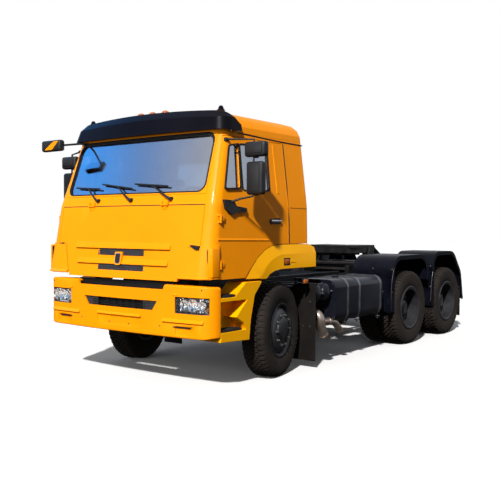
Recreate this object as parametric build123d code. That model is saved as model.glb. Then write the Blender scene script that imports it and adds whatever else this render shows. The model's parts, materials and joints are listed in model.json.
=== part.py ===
from build123d import *
import math
import os

os.makedirs("parts", exist_ok=True)

# Three-axle tractor unit with a tilting cab over the engine. Millimetres, +X forward, +Y to the
# driver's left, +Z up. Everything is placed from the front axle, on the ground, and moved at the
# end so that the origin is the middle of the outline on the ground.

# Overall
front_overhang = 1340.0      # front axle to bumper face
wheelbase = 3190.0           # front axle to first rear axle
bogie_spacing = 1320.0
rear_overhang = 658.0        # last axle to mudguard end
body_width = 2490.0          # bumper, wings and mudguards
running_gap = 0.3            # round a shaft or a pin
panel_gap = 5.0              # round a door or a lid

# Wheels
tyre_radius = 525.0
tyre_width = 280.0
bead_radius = 285.7
rim_well = 268.0
front_track = 2050.0
dual_centre = 945.0          # middle of a rear pair
dual_spacing = 320.0
bolt_ring = 167.5
kingpin_y = 860.0
kingpin_radius = 22.0
steer_arm = 190.0
parked_steer = 12.0          # degrees, both front wheels stand turned to the left

# Frame
rail_outer = 432.0           # outer face of the web
rail_flange = 80.0
rail_height = 250.0
rail_wall = 8.0
rail_top = 1010.0
rail_front = 1180.0
rail_rear_inset = 90.0       # from the end of the mudguards

# Cab
cab_wall = 40.0
skin_wall = 30.0
cab_rear_x = -500.0
lid_bottom = 1128.0
lid_top = 1895.0
lid_half_width = 1080.0
corner_bottom = 1160.0
door_bottom = 1150.0
belt_z = 2010.0
header_z = 2606.0
gutter_z = 2654.0
pillar_top_x = 915.0        # door's front corner under the header
pillar_inner = 1060.0        # the front wall ends here and the doors start
door_front_x = 1117.0
door_rear_x = -80.0
floor_z = 1300.0             # top of the front floor
rear_floor_z = 1514.0
floor_wall = 24.0
wing_outer = body_width / 2
tilt_x, tilt_z = 1200.0, 1000.0
tilt_pin = 18.0
hinge_y = 1234.0
hinge_pin = 7.0

# Fifth wheel
plate_top = 1410.0
plate_wall = 36.0
kingpin_from_axle = 3390.0   # front axle to the coupling's centre
kingpin_bore = 25.6
plate_pivot_z = 1330.0
pivot_radius = 25.0

first_rear_x = -wheelbase
last_rear_x = -wheelbase - bogie_spacing
bogie_x = (first_rear_x + last_rear_x) / 2
rear_end_x = last_rear_x - rear_overhang
origin_x = (front_overhang + rear_end_x) / 2
coupling_x = -kingpin_from_axle
rail_bottom = rail_top - rail_height
rail_rear = rear_end_x + rail_rear_inset
rail_web = rail_outer - rail_wall
rail_inner = rail_outer - rail_flange
front_wheel_y = front_track / 2
knuckle_inner_y = kingpin_y + 75
spindle_radius = 45.0
rear_spindle_radius = 60.0


def save(name, *solids):
    moved = [Pos(-origin_x, 0, 0) * solid for solid in solids]
    export_step(moved[0] if len(moved) == 1 else Compound(children=moved), f"parts/{name}.step")


def block(x0, x1, y0, y1, z0, z1):
    return Pos((x0 + x1) / 2, (y0 + y1) / 2, (z0 + z1) / 2) * Box(abs(x1 - x0), abs(y1 - y0), abs(z1 - z0))


def side_face(points):
    """A face in the XZ plane from (x, z) points."""
    return make_face(Polyline(*[(x, 0, z) for x, z in points], close=True))


def side_prism(points, y0, y1):
    """A side outline of (x, z) points, from y0 to y1."""
    return Pos(0, max(y0, y1), 0) * extrude(side_face(points), amount=abs(y1 - y0), dir=(0, -1, 0))


def front_prism(points, x0, x1):
    """A front outline of (y, z) points, from x0 to x1."""
    face = make_face(Polyline(*[(0, y, z) for y, z in points], close=True))
    return Pos(min(x0, x1), 0, 0) * extrude(face, amount=abs(x1 - x0), dir=(1, 0, 0))


def rod(start, end, radius):
    line = Line(start, end)
    return sweep(Plane(origin=start, z_dir=line % 0) * Circle(radius), path=line)


def cyl_y(x, z, y0, y1, radius):
    return Pos(x, (y0 + y1) / 2, z) * Rot(90, 0, 0) * Cylinder(radius, abs(y1 - y0))


def turned(profile, y_centre, x, z, outward):
    """Spins (radius, along) points round a wheel's axis; along grows outwards."""
    points = [(r, outward * a, 0) for r, a in profile]
    solid = revolve(make_face(Polyline(*points, close=True)), axis=Axis.Y)
    return Pos(x, y_centre, z) * solid


def both_sides(shape):
    return shape, mirror(shape, about=Plane.XZ)


# Cab skin: level outlines of the cab, each a crowned front, round corners and straight sides.
# columns: z, front x on the centreline, crown depth, corner radius, half width
cab_levels = [
    (lid_bottom - 20, 1334.0, 18.0, 120.0, 1228.0),
    (1900.0, 1214.0, 34.0, 120.0, 1210.0),
    (2030.0, 1182.0, 42.0, 120.0, 1196.0),
    (gutter_z, 968.0, 36.0, 110.0, 1115.0),
]


def outline(z, front, crown, corner, half, rear, rear_corner=45.0):
    """A level face: front arc, corner arcs, sides, rear corners and rear edge."""
    side = half - corner
    shoulder = front - crown
    bend = corner * math.sqrt(0.5)
    tail = rear_corner * math.sqrt(0.5)

    def at(x, y):
        return (x, y, z)

    edges = [ThreePointArc(at(shoulder, -side), at(front, 0), at(shoulder, side))]
    edges.append(ThreePointArc(at(shoulder, side), at(shoulder - corner + bend, side + bend),
                               at(shoulder - corner, half)))
    edges.append(Line(at(shoulder - corner, half), at(rear + rear_corner, half)))
    edges.append(ThreePointArc(at(rear + rear_corner, half),
                               at(rear + rear_corner - tail, half - rear_corner + tail),
                               at(rear, half - rear_corner)))
    edges.append(Line(at(rear, half - rear_corner), at(rear, -half + rear_corner)))
    edges.append(ThreePointArc(at(rear, -half + rear_corner),
                               at(rear + rear_corner - tail, -half + rear_corner - tail),
                               at(rear + rear_corner, -half)))
    edges.append(Line(at(rear + rear_corner, -half), at(shoulder - corner, -half)))
    edges.append(ThreePointArc(at(shoulder - corner, -half), at(shoulder - corner + bend, -side - bend),
                               at(shoulder, -side)))
    return make_face(edges)


def cab_body(grow):
    """The cab's outer form, moved outwards by grow."""
    faces = [outline(z, front + grow, crown, corner + grow, half + grow, cab_rear_x - grow, max(45 + grow, 4))
             for z, front, crown, corner, half in cab_levels]
    return loft(faces, ruled=True)


cab_outside = cab_body(0)
cab_skin = cab_outside - cab_body(-skin_wall)
cab_shell = cab_outside - cab_body(-cab_wall)

# Arch line under the door and the rear of the cab: (x, z)
arch_line = [(715, door_bottom), (583, 1274), (478, 1366), (354, 1437), (226, 1478), (75, 1490)]
under_arch = side_prism([(1400, 1000), (1400, corner_bottom), (1088, corner_bottom), (1088, door_bottom)]
                        + arch_line + [(-700, 1490), (-700, 1000)], -1400, 1400)



def shrink(points, gap):
    """Moves a closed outline inwards by gap, keeping its corners."""
    area = sum(a[0] * b[1] - b[0] * a[1] for a, b in zip(points, points[1:] + points[:1]))
    turn = 1 if area > 0 else -1
    moved = []
    for before, here, after in zip(points[-1:] + points[:-1], points, points[1:] + points[:1]):
        ux, uz = here[0] - before[0], here[1] - before[1]
        vx, vz = after[0] - here[0], after[1] - here[1]
        lu, lv = math.hypot(ux, uz), math.hypot(vx, vz)
        nx, nz = turn * -(uz / lu + vz / lv), turn * (ux / lu + vx / lv)
        length = math.hypot(nx, nz)
        half_turn = (ux * vx + uz * vz) / (lu * lv)
        reach = gap / math.sqrt((1 + half_turn) / 2)
        moved.append((here[0] + nx / length * reach, here[1] + nz / length * reach))
    return moved


def front_x(z):
    """The cab's front on the centreline at a height."""
    for (z0, x0, *_), (z1, x1, *_) in zip(cab_levels, cab_levels[1:]):
        if z <= z1:
            return x0 + (x1 - x0) * (z - z0) / (z1 - z0)
    return cab_levels[-1][1]


# Front lid below the windscreen, narrower between the corner deflectors: (y, z)
trim_inner_low, trim_inner_high = 845.0, 940.0
trim_top = 1470.0
trim_slope = (trim_inner_high - trim_inner_low) / (trim_top - corner_bottom)
lid_front = 1060.0           # everything of the lid is ahead of this
lid_shoulder = trim_top + panel_gap + 1
lid_neck_high = trim_inner_high - panel_gap - 2
lid_neck_low = lid_neck_high - trim_slope * (lid_shoulder - lid_bottom)
lid_outline = [(-lid_half_width, lid_top), (lid_half_width, lid_top), (lid_half_width, lid_shoulder + 12),
               (lid_neck_high, lid_shoulder), (lid_neck_low, lid_bottom), (-lid_neck_low, lid_bottom),
               (-lid_neck_high, lid_shoulder), (-lid_half_width, lid_shoulder + 12)]
lid_room = front_prism(shrink(lid_outline, -panel_gap), lid_front, 1500)
lid = cab_skin & front_prism(lid_outline, lid_front, 1500)
grille_slots = [(1217, 1283), (1367, 1434)]
slot_half_width = 346.0
slot_depth = 12.0
for low, high in grille_slots:
    middle = front_x((low + high) / 2)
    lid -= block(middle - slot_depth, middle + 60, -slot_half_width, slot_half_width, low, high)
lid_hinge_x, lid_hinge_z = front_x(1900) + 4, 1900.0

# Windscreen opening, seen from the front: (y, z)
glass_half_low, glass_half_high = 1048.0, 1022.0
glass_low, glass_high = 2030.0, 2636.0
screen_hole = front_prism([(-glass_half_low, glass_low), (glass_half_low, glass_low),
                           (glass_half_high, glass_high), (-glass_half_high, glass_high)], 800, 1400)
front_zone = side_prism([(1500, 1000), (door_front_x, 1000), (door_front_x, belt_z), (pillar_top_x, header_z),
                         (pillar_top_x, gutter_z), (1500, gutter_z)], -1400, 1400)
front_zone += block(850, 1500, -pillar_inner, pillar_inner, 1000, gutter_z)
cab_front = (cab_shell & front_zone) - lid_room - screen_hole
cab_front -= block(800, 1500, -1400, 1400, 900, corner_bottom)
screen_wall = 6.0
screen_inset = 12.0
windscreen = ((cab_body(-screen_inset) - cab_body(-screen_inset - screen_wall))
              & screen_hole & block(700, 1500, -1400, 1400, glass_low, glass_high))

# Door outline: (x, z), front pillar edge, header, rear edge and arch line
door_points = [(door_front_x, door_bottom), (door_front_x, belt_z), (pillar_top_x, header_z),
               (door_rear_x, header_z), (door_rear_x, 1490)] + arch_line[::-1]

quarter_window = [(885, 2500), (722, 2530), (760, 2076), (1015, 2060)]
door_window = [(690, 2532), (214, 2550), (239, 2071), (707, 2057)]
window_rabbet = 14.0


def on_side(shape, side):
    return shape if side > 0 else mirror(shape, about=Plane.XZ)


door_cut = side_prism(shrink(door_points, panel_gap / 2), pillar_inner + panel_gap, 1400)
door_hole = side_prism(shrink(door_points, -panel_gap / 2), pillar_inner, 1400)
door = cab_shell & door_cut
for hole in both_sides(door_hole):
    cab_front -= hole
panes = []
for window in (quarter_window, door_window):
    door -= side_prism(window, 900, 1400)
    pane_band = cab_body(-window_rabbet) - cab_body(-window_rabbet - screen_wall)
    panes.append(pane_band & side_prism(shrink(window, 0.2), 900, 1400))

# Door hinges: a lug and pin on the cab, a knuckle on the door
hinge_levels = [1300.0, 1760.0]
hinge_height = 50.0
hinge_reach = 34.0
hinge_x = door_front_x
knuckle_radius = 12.0
door_lugs, cab_lugs, hinge_notches = [], [], []
for level in hinge_levels:
    barrel = Pos(hinge_x, hinge_y, level) * Cylinder(knuckle_radius, hinge_height)
    barrel -= Pos(hinge_x, hinge_y, level) * Cylinder(hinge_pin + running_gap, hinge_height)
    leaf = block(hinge_x - hinge_reach - 30, hinge_x - knuckle_radius * 0.8, hinge_y - 45,
                 hinge_y - 2, level - hinge_height / 2, level + hinge_height / 2)
    leaf -= cab_body(-cab_wall / 2)
    door_lugs.append(barrel + leaf)
    pin = Pos(hinge_x, hinge_y, level) * Cylinder(hinge_pin, hinge_height + 36)
    for ear in (-1, 1):
        ear_z = level + ear * (hinge_height / 2 + 10)
        tab = Pos(hinge_x, hinge_y, ear_z) * Cylinder(knuckle_radius, 16)
        arm = block(hinge_x, hinge_x + 16, hinge_y - 45, hinge_y - 4, ear_z - 8, ear_z + 8)
        pin += tab + (arm - cab_body(-cab_wall / 2))
    cab_lugs.append(pin)
    # The barrel turns in a round recess of the skin
    recess = Pos(hinge_x, hinge_y, level) * Cylinder(knuckle_radius + 6, hinge_height + 52)
    hinge_notches.append(block(hinge_x, hinge_x + 20, hinge_y - 60, 1400, level - 52, level + 52))
    door -= recess
    cab_front -= recess + mirror(recess, about=Plane.XZ)
for lug in door_lugs:
    door += lug
for lug in cab_lugs:
    cab_front += lug + mirror(lug, about=Plane.XZ)

# Lid hinges on the cab's front, on the line above the lid
lid_hinge_pin = 6.0
lid_knuckle = 11.0
for y in (-560.0, 560.0):
    barrel = cyl_y(lid_hinge_x, lid_hinge_z, y - 30, y + 30, lid_knuckle)
    barrel -= cyl_y(lid_hinge_x, lid_hinge_z, y - 30, y + 30, lid_hinge_pin + running_gap)
    leaf = block(lid_hinge_x - 40, lid_hinge_x - 2, y - 30, y + 30, lid_hinge_z - 48, lid_hinge_z - 8.5)
    recess = cyl_y(lid_hinge_x, lid_hinge_z, y - 52, y + 52, lid_knuckle + 5)
    lid = (lid - recess) + barrel + (leaf - cab_body(-skin_wall / 2))
    cab_front -= recess
    pin = cyl_y(lid_hinge_x, lid_hinge_z, y - 48, y + 48, lid_hinge_pin)
    for side in (-1, 1):
        ear_y = y + side * 40
        pin += cyl_y(lid_hinge_x, lid_hinge_z, ear_y - 8, ear_y + 8, lid_knuckle)
        tab = block(lid_hinge_x - 44, lid_hinge_x - 2, ear_y - 8, ear_y + 8, lid_hinge_z + 8, lid_hinge_z + 40)
        pin += tab - cab_body(-cab_wall / 2)
    cab_front += pin

# Cab sides, rear wall and roof
rear_split = cab_rear_x + 70
side_zone = block(rear_split, 1500, 700, 1400, 1000, gutter_z) - front_zone
cab_side = (cab_shell & side_zone) - door_hole - under_arch
cab_rear = (cab_shell & block(-600, rear_split, -1400, 1400, 1490, gutter_z))

# Two windows in the rear wall, behind the seats
rear_window_inner, rear_window_outer = 300.0, 850.0
rear_window_low, rear_window_high = 2170.0, 2500.0
rear_pane_x = cab_rear_x + 18
rear_panes = []
for side in (-1, 1):
    hole = block(cab_rear_x - 60, cab_rear_x + 60, side * rear_window_inner, side * rear_window_outer,
                 rear_window_low, rear_window_high)
    cab_rear -= hole
    rear_panes.append(block(rear_pane_x, rear_pane_x + screen_wall, side * (rear_window_inner + 0.2),
                            side * (rear_window_outer - 0.2), rear_window_low + 0.2, rear_window_high - 0.2))

# columns: z, front x, crown, corner radius, half width, rear x
roof_levels = [
    (gutter_z, 968.0, 36.0, 110.0, 1115.0, cab_rear_x),
    (2720.0, 955.0, 36.0, 110.0, 1106.0, cab_rear_x + 2),
    (2790.0, 920.0, 36.0, 110.0, 1072.0, cab_rear_x + 8),
    (2845.0, 862.0, 36.0, 110.0, 1005.0, cab_rear_x + 26),
    (2880.0, 770.0, 36.0, 110.0, 890.0, cab_rear_x + 70),
    (2900.0, 600.0, 36.0, 110.0, 660.0, cab_rear_x + 180),
]


def roof_form(inset, drop):
    faces = [outline(z - (drop if z > gutter_z else 0), front - inset, crown, corner - inset,
                     half - inset, rear + inset, 45 - inset * 0.5)
             for z, front, crown, corner, half, rear in roof_levels]
    return loft(faces, ruled=True)


cab_roof = roof_form(0, 0) - roof_form(skin_wall, skin_wall)

# Floor: low in front, high over the wheels and the engine, with a tunnel between the seats
floor_front = 1200.0
floor_half = 1160.0
floor_step_x = 470.0
tunnel_half = 430.0
floor_points = [(floor_front, floor_z), (floor_step_x, floor_z), (floor_step_x, rear_floor_z),
                (cab_rear_x + cab_wall, rear_floor_z), (cab_rear_x + cab_wall, rear_floor_z - floor_wall),
                (floor_step_x - floor_wall, rear_floor_z - floor_wall),
                (floor_step_x - floor_wall, floor_z - floor_wall), (floor_front, floor_z - floor_wall)]
cab_floor = side_prism(floor_points, -floor_half, floor_half)
tunnel_front = 1000.0
tunnel = block(floor_step_x - floor_wall, tunnel_front, -tunnel_half, tunnel_half,
               floor_z - floor_wall, rear_floor_z)
tunnel_room = block(floor_step_x - floor_wall, tunnel_front - floor_wall, -tunnel_half + floor_wall,
                    tunnel_half - floor_wall, floor_z - floor_wall, rear_floor_z - floor_wall)
cab_floor = cab_floor + tunnel - tunnel_room
firewall_low, firewall_high = floor_z + 100, 1955.0
firewall_points = [(floor_front - floor_wall, firewall_low), (1104, firewall_high)]
firewall = side_prism([(x + floor_wall, z) for x, z in firewall_points] + firewall_points[::-1]
                      + [(floor_front - floor_wall, floor_z - floor_wall), (floor_front, floor_z - floor_wall)],
                      -floor_half, floor_half)
cab_floor = (cab_floor + firewall) & cab_body(-cab_wall)
cab_floor -= (cab_outside - cab_body(-cab_wall - 8)) & side_prism(shrink(door_points, -panel_gap), -1400, 1400)
# Pivot arms under the floor, with the bore for the tilt pin
arm_y0, arm_y1 = 454.0, 486.0
arm_half = 32.0
for side in (-1, 1):
    arm = block(tilt_x - arm_half, tilt_x - 2, side * arm_y0, side * arm_y1, tilt_z, floor_z)
    arm += block(tilt_x - 2, tilt_x + arm_half, side * arm_y0, side * arm_y1, tilt_z, floor_z - floor_wall)
    arm += cyl_y(tilt_x, tilt_z, side * arm_y0, side * arm_y1, arm_half)
    arm -= cyl_y(tilt_x, tilt_z, side * arm_y0, side * arm_y1, tilt_pin + running_gap)
    cab_floor += arm

# Wings over the front wheels, with a sloping band above the crease: (x, z)
wing_low = [(446, 1127), (365, 1127), (302, 1173), (200, 1207), (80, 1219), (-614, 1219)]
wing_top = [(-614, 1448), (-490, 1484), (75, 1484), (226, 1472), (354, 1431), (478, 1360),
            (583, 1268), (690, 1137)]
wing_crease = [(-614, 1376), (-560, 1378), (60, 1376), (117, 1372), (266, 1323), (375, 1251),
               (470, 1160), (499, 1137)]
wing_inner, wing_shoulder = 1000.0, 1218.0


def wing_face(upper, y):
    return make_face(Polyline(*[(x, y, z) for x, z in wing_low + upper], close=True))


wing = loft([wing_face(wing_top, wing_inner), wing_face(wing_top, wing_shoulder)], ruled=True)
wing += loft([wing_face(wing_top, wing_shoulder), wing_face(wing_crease, wing_outer)], ruled=True)
for half in both_sides(wing):
    cab_floor -= half

# Corner deflectors, standing off the corners below the belt: (y, z) from the front
trim_wall = 12.0
trim_points = [(trim_inner_low, corner_bottom), (trim_inner_high, trim_top), (1300, trim_top + 30),
               (1300, corner_bottom)]
trim_zone = front_prism(trim_points, door_front_x + panel_gap, 1400)
corner_trim = (cab_body(trim_wall) - cab_body(0.2)) & trim_zone
for notch in hinge_notches:
    corner_trim -= notch

# Sun visor: a bent sheet ahead of the screen's head, on three feet
# columns: z, front x, crown, corner radius, half width
visor_levels = [(2668.0, 1048.0, 44.0, 150.0, 1166.0), (2800.0, 1012.0, 44.0, 150.0, 1136.0),
                (2872.0, 955.0, 44.0, 150.0, 1076.0)]
visor_wall = 8.0
visor_end_x = 690.0


def visor_form(inset):
    return loft([outline(z, front - inset, crown, corner - inset, half - inset, 300.0)
                 for z, front, crown, corner, half in visor_levels], ruled=True)


visor = (visor_form(0) - visor_form(visor_wall)) & block(visor_end_x, 1400, -1400, 1400, 2600, 2900)
visor -= side_prism([(600, 2740), (700, 2740), (900, 2900), (600, 2900)], -1400, 1400)
for y in (-640.0, 0.0, 640.0):
    visor += block(880, 1035, y - 12, y + 12, 2690, 2720) & (visor_form(visor_wall - 2) - roof_form(0, 0))
for side in (-1, 1):
    strut = block(760, 800, side * 1060, side * 1160, 2672, 2700)
    visor += strut & (visor_form(visor_wall - 2) - roof_form(0, 0))

# Cab fittings
seat_y = 620.0
seat_half = 245.0
seats = []
for side in (-1, 1):
    low, high = side * seat_y - seat_half, side * seat_y + seat_half
    cushion = side_prism([(330, rear_floor_z + 150), (330, rear_floor_z + 240), (290, rear_floor_z + 270),
                          (-150, rear_floor_z + 240), (-150, rear_floor_z + 150)], low, high)
    base = block(-100, 250, low + 60, high - 60, rear_floor_z, rear_floor_z + 150)
    back = side_prism([(-150, rear_floor_z + 180), (-20, rear_floor_z + 245), (-150, rear_floor_z + 780),
                       (-230, rear_floor_z + 780), (-190, rear_floor_z + 180)], low + 15, high - 15)
    seats.append(fillet((cushion + back + base).edges().filter_by(Axis.Y), 12))

dash_half = 1045.0
dash_low = 1720.0
(wall_x0, wall_z0), (wall_x1, wall_z1) = firewall_points
dash_front = wall_x0 + (wall_x1 - wall_x0) * (dash_low - wall_z0) / (wall_z1 - wall_z0)
dashboard = side_prism([(dash_front, dash_low), (wall_x1, wall_z1), (1090, 2010), (960, 2010), (800, 1930),
                        (790, 1800), (900, dash_low)], -dash_half, dash_half) & cab_body(-cab_wall - 8)
wheel_centre = (640.0, seat_y, 1990.0)
wheel_lean = 28.0            # of the steering wheel's axis from upright
steering = Pos(*wheel_centre) * Rot(0, -wheel_lean, 0) * (Torus(225, 15) + Cylinder(46, 40)
                                                         + Box(430, 36, 14) + Box(36, 430, 14))
steering += rod(wheel_centre, (850, seat_y, 1890), 26)
dashboard += steering

# Door mirrors: two housings on a bowed arm. columns: y0, y1, z0, z1
mirror_x = 800.0
mirror_housings = [(1298, 1561, 2380, 2533), (1324, 1530, 2000, 2333)]
mirror_depth = 92.0
arm_radius = 11.0
stem_y = 1400.0
door_mirror = None
for y0, y1, z0, z1 in mirror_housings:
    housing = block(mirror_x - mirror_depth / 2, mirror_x + mirror_depth / 2, y0, y1, z0, z1)
    housing = fillet(housing.edges().filter_by(Axis.X), 34)
    housing = fillet(housing.faces().sort_by(Axis.X)[-1].edges(), 26)
    door_mirror = housing if door_mirror is None else door_mirror + housing
bracket_x, bracket_z = 1000.0, 1880.0
arm_route = [(bracket_x - 60, 1225, 1930), (mirror_x + 20, stem_y, 1985), (mirror_x, stem_y, 2556),
             (905, 1118, 2566)]
for start, end in zip(arm_route, arm_route[1:]):
    door_mirror += rod(start, end, arm_radius)
for joint in arm_route[1:3]:
    door_mirror += Pos(*joint) * Sphere(arm_radius)
door_mirror += block(bracket_x - 110, bracket_x + 60, 1200, 1240, bracket_z - 40, bracket_z + 60)
door_mirror += block(878, 918, 1105, 1135, 2552, 2580)
door_mirror -= cab_body(0.2)

# Front mirror on the passenger's side
front_mirror = fillet(block(1236, 1318, -1330, -990, 2540, 2672).edges().filter_by(Axis.X), 40)
front_mirror += rod((1270, -1010, 2606), (1040, -960, 2640), 12)
front_mirror += rod((1040, -960, 2640), (925, -960, 2641), 12)
front_mirror += Pos(1040, -960, 2640) * Sphere(12)
front_mirror -= cab_outside

# Wipers: pivot y, blade middle y
wiper_pivots = [(-470.0, -760.0), (70.0, -210.0), (640.0, 330.0)]
wipers = []


def screen_x(z, y):
    """The windscreen's outer surface, with its crown."""
    return front_x(z) - 42.0 * (y / 1080.0) ** 2 - screen_inset


for pivot_y, blade_y in wiper_pivots:
    foot = (screen_x(1985, pivot_y) + 48, pivot_y, 1985)
    tip = (screen_x(2130, blade_y) + 44, blade_y, 2130)
    ends = [(screen_x(2125, blade_y + s * 260) + 44, blade_y + s * 260, 2130 + s * -22) for s in (-1, 1)]
    wiper = rod(foot, tip, 8) + rod(ends[0], tip, 7) + rod(tip, ends[1], 7) + Pos(*tip) * Sphere(9)
    wiper += rod((foot[0] - 60, pivot_y, 1985), (foot[0] + 12, pivot_y, 1985), 14)
    wipers.append(wiper - cab_outside)

# Bumper: a bent shell with the grille opening, lamp holes and the slot under the cab
bumper_wall = 20.0
bumper_bottom, bumper_top = 560.0, 1092.0
bumper_notch = 1040.0        # top between the high ends
notch_half = 640.0
bumper_end_x = 1131.0
bumper_crown, bumper_corner = 48.0, 160.0


def bumper_body(inset, low, high):
    """The bumper's outline moved inwards by inset, from low to high."""
    face = outline(low, front_overhang - inset, bumper_crown, bumper_corner - inset, wing_outer - inset, 600)
    return extrude(face, amount=high - low, dir=(0, 0, 1))


bumper_form = bumper_body(0, bumper_bottom, bumper_top)
bumper_form = fillet(bumper_form.faces().sort_by(Axis.Z)[-1].edges(), 22)
bumper_form = fillet(bumper_form.faces().sort_by(Axis.Z)[0].edges(), 16)
bumper_room = bumper_body(bumper_wall, 0, bumper_top - bumper_wall)
bumper_skin = bumper_form - bumper_body(10, 0, bumper_top)
bumper = bumper_form - bumper_room
bumper &= block(bumper_end_x, 2000, -2000, 2000, 0, 2000)
bumper -= front_prism([(-notch_half, bumper_notch), (notch_half, bumper_notch), (notch_half + 70, 1200),
                       (-notch_half - 70, 1200)], 1000, 1400)
bumper -= front_prism([(-495, 819), (495, 819), (562, 917), (-562, 917)], 1200, 1400)
bumper -= front_prism([(-320, 640), (320, 640), (345, 742), (-345, 742)], 1200, 1400) & bumper_skin
lamp_low, lamp_high, lamp_inner, lamp_outer = 808.0, 975.0, 796.0, 1198.0
lamp_face = 1316.0
lamp_depth = 110.0
headlamp_hole = block(1150, 1400, lamp_inner, lamp_outer, lamp_low, lamp_high)
fog_slot = block(1200, 1400, 655, 1130, 704, 716) & bumper_skin
fog_blank = block(1200, 1400, 800, 1040, 588, 682) & bumper_skin
for cut in (headlamp_hole, fog_slot, fog_blank):
    for cutter in both_sides(cut):
        bumper -= cutter
lamp_gap = 0.3
headlamp = block(lamp_face - lamp_depth, lamp_face, lamp_inner + lamp_gap, lamp_outer - lamp_gap,
                 lamp_low + lamp_gap, lamp_high - lamp_gap) & bumper_body(6, 0, 1500)

# Step fairings behind the bumper's ends: (x, z)
fairing_front = bumper_end_x - panel_gap
fairing_inner = 1000.0
tread_high, tread_low = 968.0, 622.0
tread_wall = 40.0
fairing_points = [(fairing_front, 527), (661, 507), (636, 710), (569, 966), (455, 1085), (455, 1108),
                  (723, 1108), (905, tread_high), (fairing_front, tread_high)]
fairing = side_prism(fairing_points, fairing_inner, wing_outer)
foot_depth = 165.0
fairing -= side_prism([(fairing_front + 10, tread_low), (720, tread_low), (760, 700), (880, 760), (700, 928),
                       (fairing_front + 10, 928)], wing_outer - foot_depth, wing_outer + 10)
fairing -= side_prism([(fairing_front - 180, 400), (680, 400), (655, 700), (585, 940), (fairing_front - 180, 580)],
                      fairing_inner - 1, wing_outer - foot_depth - 20)

# Frame rails, channels open inwards, and their crossmembers
rail = block(rail_rear, rail_front, rail_inner, rail_outer, rail_bottom, rail_top)
rail -= block(rail_rear, rail_front, rail_inner, rail_web, rail_bottom + rail_wall, rail_top - rail_wall)
member_half = 30.0
member_places = [rail_front - member_half, -1620.0, -2450.0, bogie_x, rail_rear + member_half]
crossmembers = [block(x - member_half, x + member_half, -rail_web, rail_web, rail_bottom + 20, rail_top - 20)
                for x in member_places]
tow_hole_radius = 25.0
tow_hole = Rot(0, 90, 0) * Cylinder(tow_hole_radius, 400)
crossmembers[-1] -= Pos(rail_rear, 0, (rail_bottom + rail_top) / 2) * tow_hole

# Brackets at the front: bumper arms, tilt pin forks and fairing arms
fork_y0, fork_y1 = rail_outer, 508.0
front_brackets = []
for side in (-1, 1):
    arm = block(rail_front, front_overhang, side * rail_inner, side * rail_outer,
                rail_bottom + 20, rail_bottom + 130) & bumper_room
    base = block(1100, tilt_x + 45, side * fork_y0, side * fork_y1, 800, tilt_z - arm_half - 12)
    ears = block(tilt_x - 45, tilt_x + 45, side * fork_y0, side * (arm_y0 - 4), 800, tilt_z + 34)
    ears += block(tilt_x - 45, tilt_x + 45, side * (arm_y1 + 4), side * fork_y1, 800, tilt_z + 34)
    pin = cyl_y(tilt_x, tilt_z, side * fork_y0, side * fork_y1, tilt_pin)
    reach = block(1140, 1200, side * fork_y1, side * (fairing_inner + 40), 820, 880)
    reach += block(1000, 1200, side * (fairing_inner - 30), side * fairing_inner, 820, 880)
    front_brackets.append(arm + base + ears + pin + reach)

# Engine, gearbox and radiator as one plain block, on feet against the rails' webs
engine_half = rail_inner - 12
gearbox_rear = -1420.0
engine = block(-760, 430, -engine_half, engine_half, 650, 1430)
engine += block(gearbox_rear, -760, -220, 220, 600, 1000)
engine += block(430, 620, -260, 260, 800, 1180) + block(620, 740, -engine_half, engine_half, 640, 1190)
for side in (-1, 1):
    for x in (-600.0, 250.0):
        engine += block(x - 70, x + 70, side * engine_half, side * rail_web, 800, 880)

# Front axle: beam with kingpin eyes, leaf springs and their hangers
eye_radius = 50.0
eye_low, eye_high = tyre_radius - 65, tyre_radius + 65
beam_half = 45.0
axle_points = [(-820, 560), (-740, 560), (-620, 470), (620, 470), (740, 560), (820, 560), (820, 470),
               (760, 460), (640, 380), (-640, 380), (-760, 460), (-820, 470)]
front_axle = front_prism(axle_points, -beam_half, beam_half)
spring_half = 43.0
spring_y = rail_outer + spring_half
spring_reach = 800.0
spring_points = [(-spring_reach, 640), (-400, 540), (-120, 512), (120, 512), (400, 540), (spring_reach, 640),
                 (spring_reach, 612), (400, 500), (120, 470), (-120, 470), (-400, 500), (-spring_reach, 612)]
for side in (-1, 1):
    low, high = side * (spring_y - spring_half), side * (spring_y + spring_half)
    front_axle += side_prism(spring_points, low, high)
    for end in (-1, 1):
        x = end * (spring_reach - 40)
        front_axle += block(x - 40, x + 40, low, high, 600, 900)
for side in (-1, 1):
    front_axle += Pos(0, side * kingpin_y, tyre_radius) * Cylinder(eye_radius, eye_high - eye_low)
    front_axle -= Pos(0, side * kingpin_y, tyre_radius) * Cylinder(kingpin_radius + running_gap, 200)
    front_axle -= block(-60, 60, side * (kingpin_y + eye_radius), side * 1000, 300, 700)

def steered(shape, side):
    """Turns a front wheel's part about its kingpin by the parked angle."""
    return Pos(0, side * kingpin_y, 0) * Rot(0, 0, parked_steer) * Pos(0, -side * kingpin_y, 0) * shape


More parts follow.
